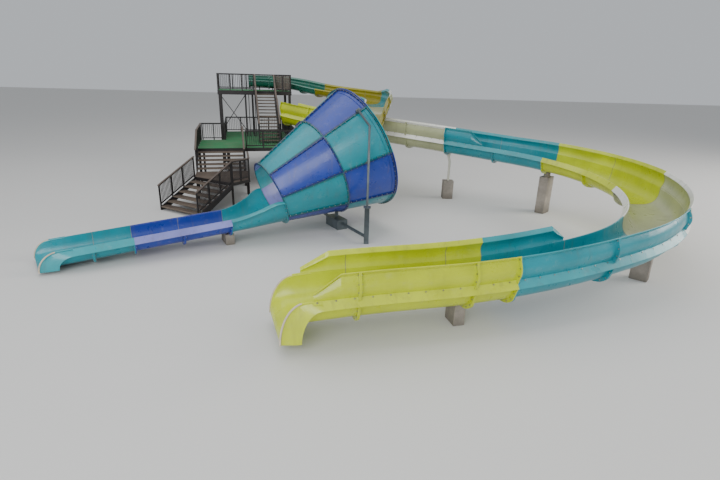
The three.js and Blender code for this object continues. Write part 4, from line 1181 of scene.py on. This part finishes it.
def length_property(name, text, default):
    return bpy.props.FloatProperty(name=name, description=text, default=default, min=0.001,
                                   soft_max=1, subtype="DISTANCE", unit="LENGTH")


class SlideSizes(bpy.types.PropertyGroup):
    """Sizes of the added detail, in metres."""
    shell: length_property("Shell", "Thickness of the slides' shells", 0.014)
    collar: length_property("Collar", "Thickness of the joint collars", 0.03)
    bolt_head: length_property("Bolt head", "Width of the bolt heads", 0.03)
    bolt_spacing: length_property("Bolt spacing", "Distance between the bolts of a joint", 0.2)
    baluster: length_property("Baluster", "Width of the square balusters", 0.018)
    baluster_pitch: length_property("Baluster pitch", "Distance between the balusters", 0.11)
    board: length_property("Capping board", "Width of the boards on the railings", 0.09)


def sizes():
    return bpy.context.scene.slide_sizes


class SLIDE_OT_finishes(bpy.types.Operator):
    """Make the gelcoats, paints, coatings and concrete"""
    bl_idname = "slide_tower.finishes"
    bl_label = "Finishes"

    def execute(self, context):
        make_finishes()
        return {"FINISHED"}


class SLIDE_OT_tower(bpy.types.Operator):
    """Dress the tower frame and the decks"""
    bl_idname = "slide_tower.tower"
    bl_label = "Tower frame and decks"

    def execute(self, context):
        make_tower()
        return {"FINISHED"}


class SLIDE_OT_stairs(bpy.types.Operator):
    """Dress the three stairs with boards and nosings"""
    bl_idname = "slide_tower.stairs"
    bl_label = "Stairs"

    def execute(self, context):
        make_stairs()
        return {"FINISHED"}


class SLIDE_OT_railings(bpy.types.Operator):
    """Add balusters and capping boards to every railing"""
    bl_idname = "slide_tower.railings"
    bl_label = "Railings"

    def execute(self, context):
        make_railings()
        return {"FINISHED"}


class SLIDE_OT_uturn(bpy.types.Operator):
    """Model the sections of the U-turn slide"""
    bl_idname = "slide_tower.uturn"
    bl_label = "U-turn slide"

    def execute(self, context):
        make_uturn()
        return {"FINISHED"}


class SLIDE_OT_feed(bpy.types.Operator):
    """Model the sections of the upper flume"""
    bl_idname = "slide_tower.feed"
    bl_label = "Upper flume"

    def execute(self, context):
        make_feed()
        return {"FINISHED"}


class SLIDE_OT_funnel(bpy.types.Operator):
    """Model the curved panels of the funnel"""
    bl_idname = "slide_tower.funnel"
    bl_label = "Funnel"

    def execute(self, context):
        make_funnel()
        return {"FINISHED"}


class SLIDE_OT_runout(bpy.types.Operator):
    """Model the sections of the funnel's run-out"""
    bl_idname = "slide_tower.runout"
    bl_label = "Run-out"

    def execute(self, context):
        make_runout()
        return {"FINISHED"}


class SLIDE_OT_supports(bpy.types.Operator):
    """Dress the piers, posts and stays"""
    bl_idname = "slide_tower.supports"
    bl_label = "Supports"

    def execute(self, context):
        make_supports()
        return {"FINISHED"}


class SLIDE_OT_stage(bpy.types.Operator):
    """Make the floor, the light and the camera"""
    bl_idname = "slide_tower.stage"
    bl_label = "Stage"

    def execute(self, context):
        make_stage()
        return {"FINISHED"}


OPERATORS = (SLIDE_OT_finishes, SLIDE_OT_tower, SLIDE_OT_stairs, SLIDE_OT_railings, SLIDE_OT_uturn,
             SLIDE_OT_feed, SLIDE_OT_funnel, SLIDE_OT_runout, SLIDE_OT_supports, SLIDE_OT_stage)


class SLIDE_PT_panel(bpy.types.Panel):
    """Steps that dress the slide tower"""
    bl_label = "Water slide tower"
    bl_space_type = "VIEW_3D"
    bl_region_type = "UI"
    bl_category = "Slide tower"

    def draw(self, context):
        for operator in OPERATORS:
            self.layout.operator(operator.bl_idname)


CLASSES = (SlideColours, SlideSizes, *OPERATORS, SLIDE_PT_panel)


def register():
    for item in CLASSES:
        bpy.utils.register_class(item)
    bpy.types.Scene.slide_colours = bpy.props.PointerProperty(type=SlideColours)
    bpy.types.Scene.slide_sizes = bpy.props.PointerProperty(type=SlideSizes)


def unregister():
    del bpy.types.Scene.slide_sizes
    del bpy.types.Scene.slide_colours
    for item in reversed(CLASSES):
        bpy.utils.unregister_class(item)


def main():
    register()
    bpy.ops.slide_tower.finishes()
    bpy.ops.slide_tower.tower()
    bpy.ops.slide_tower.stairs()
    bpy.ops.slide_tower.railings()
    bpy.ops.slide_tower.uturn()
    bpy.ops.slide_tower.feed()
    bpy.ops.slide_tower.funnel()
    bpy.ops.slide_tower.runout()
    bpy.ops.slide_tower.supports()
    bpy.ops.slide_tower.stage()


if __name__ == "__main__":
    main()
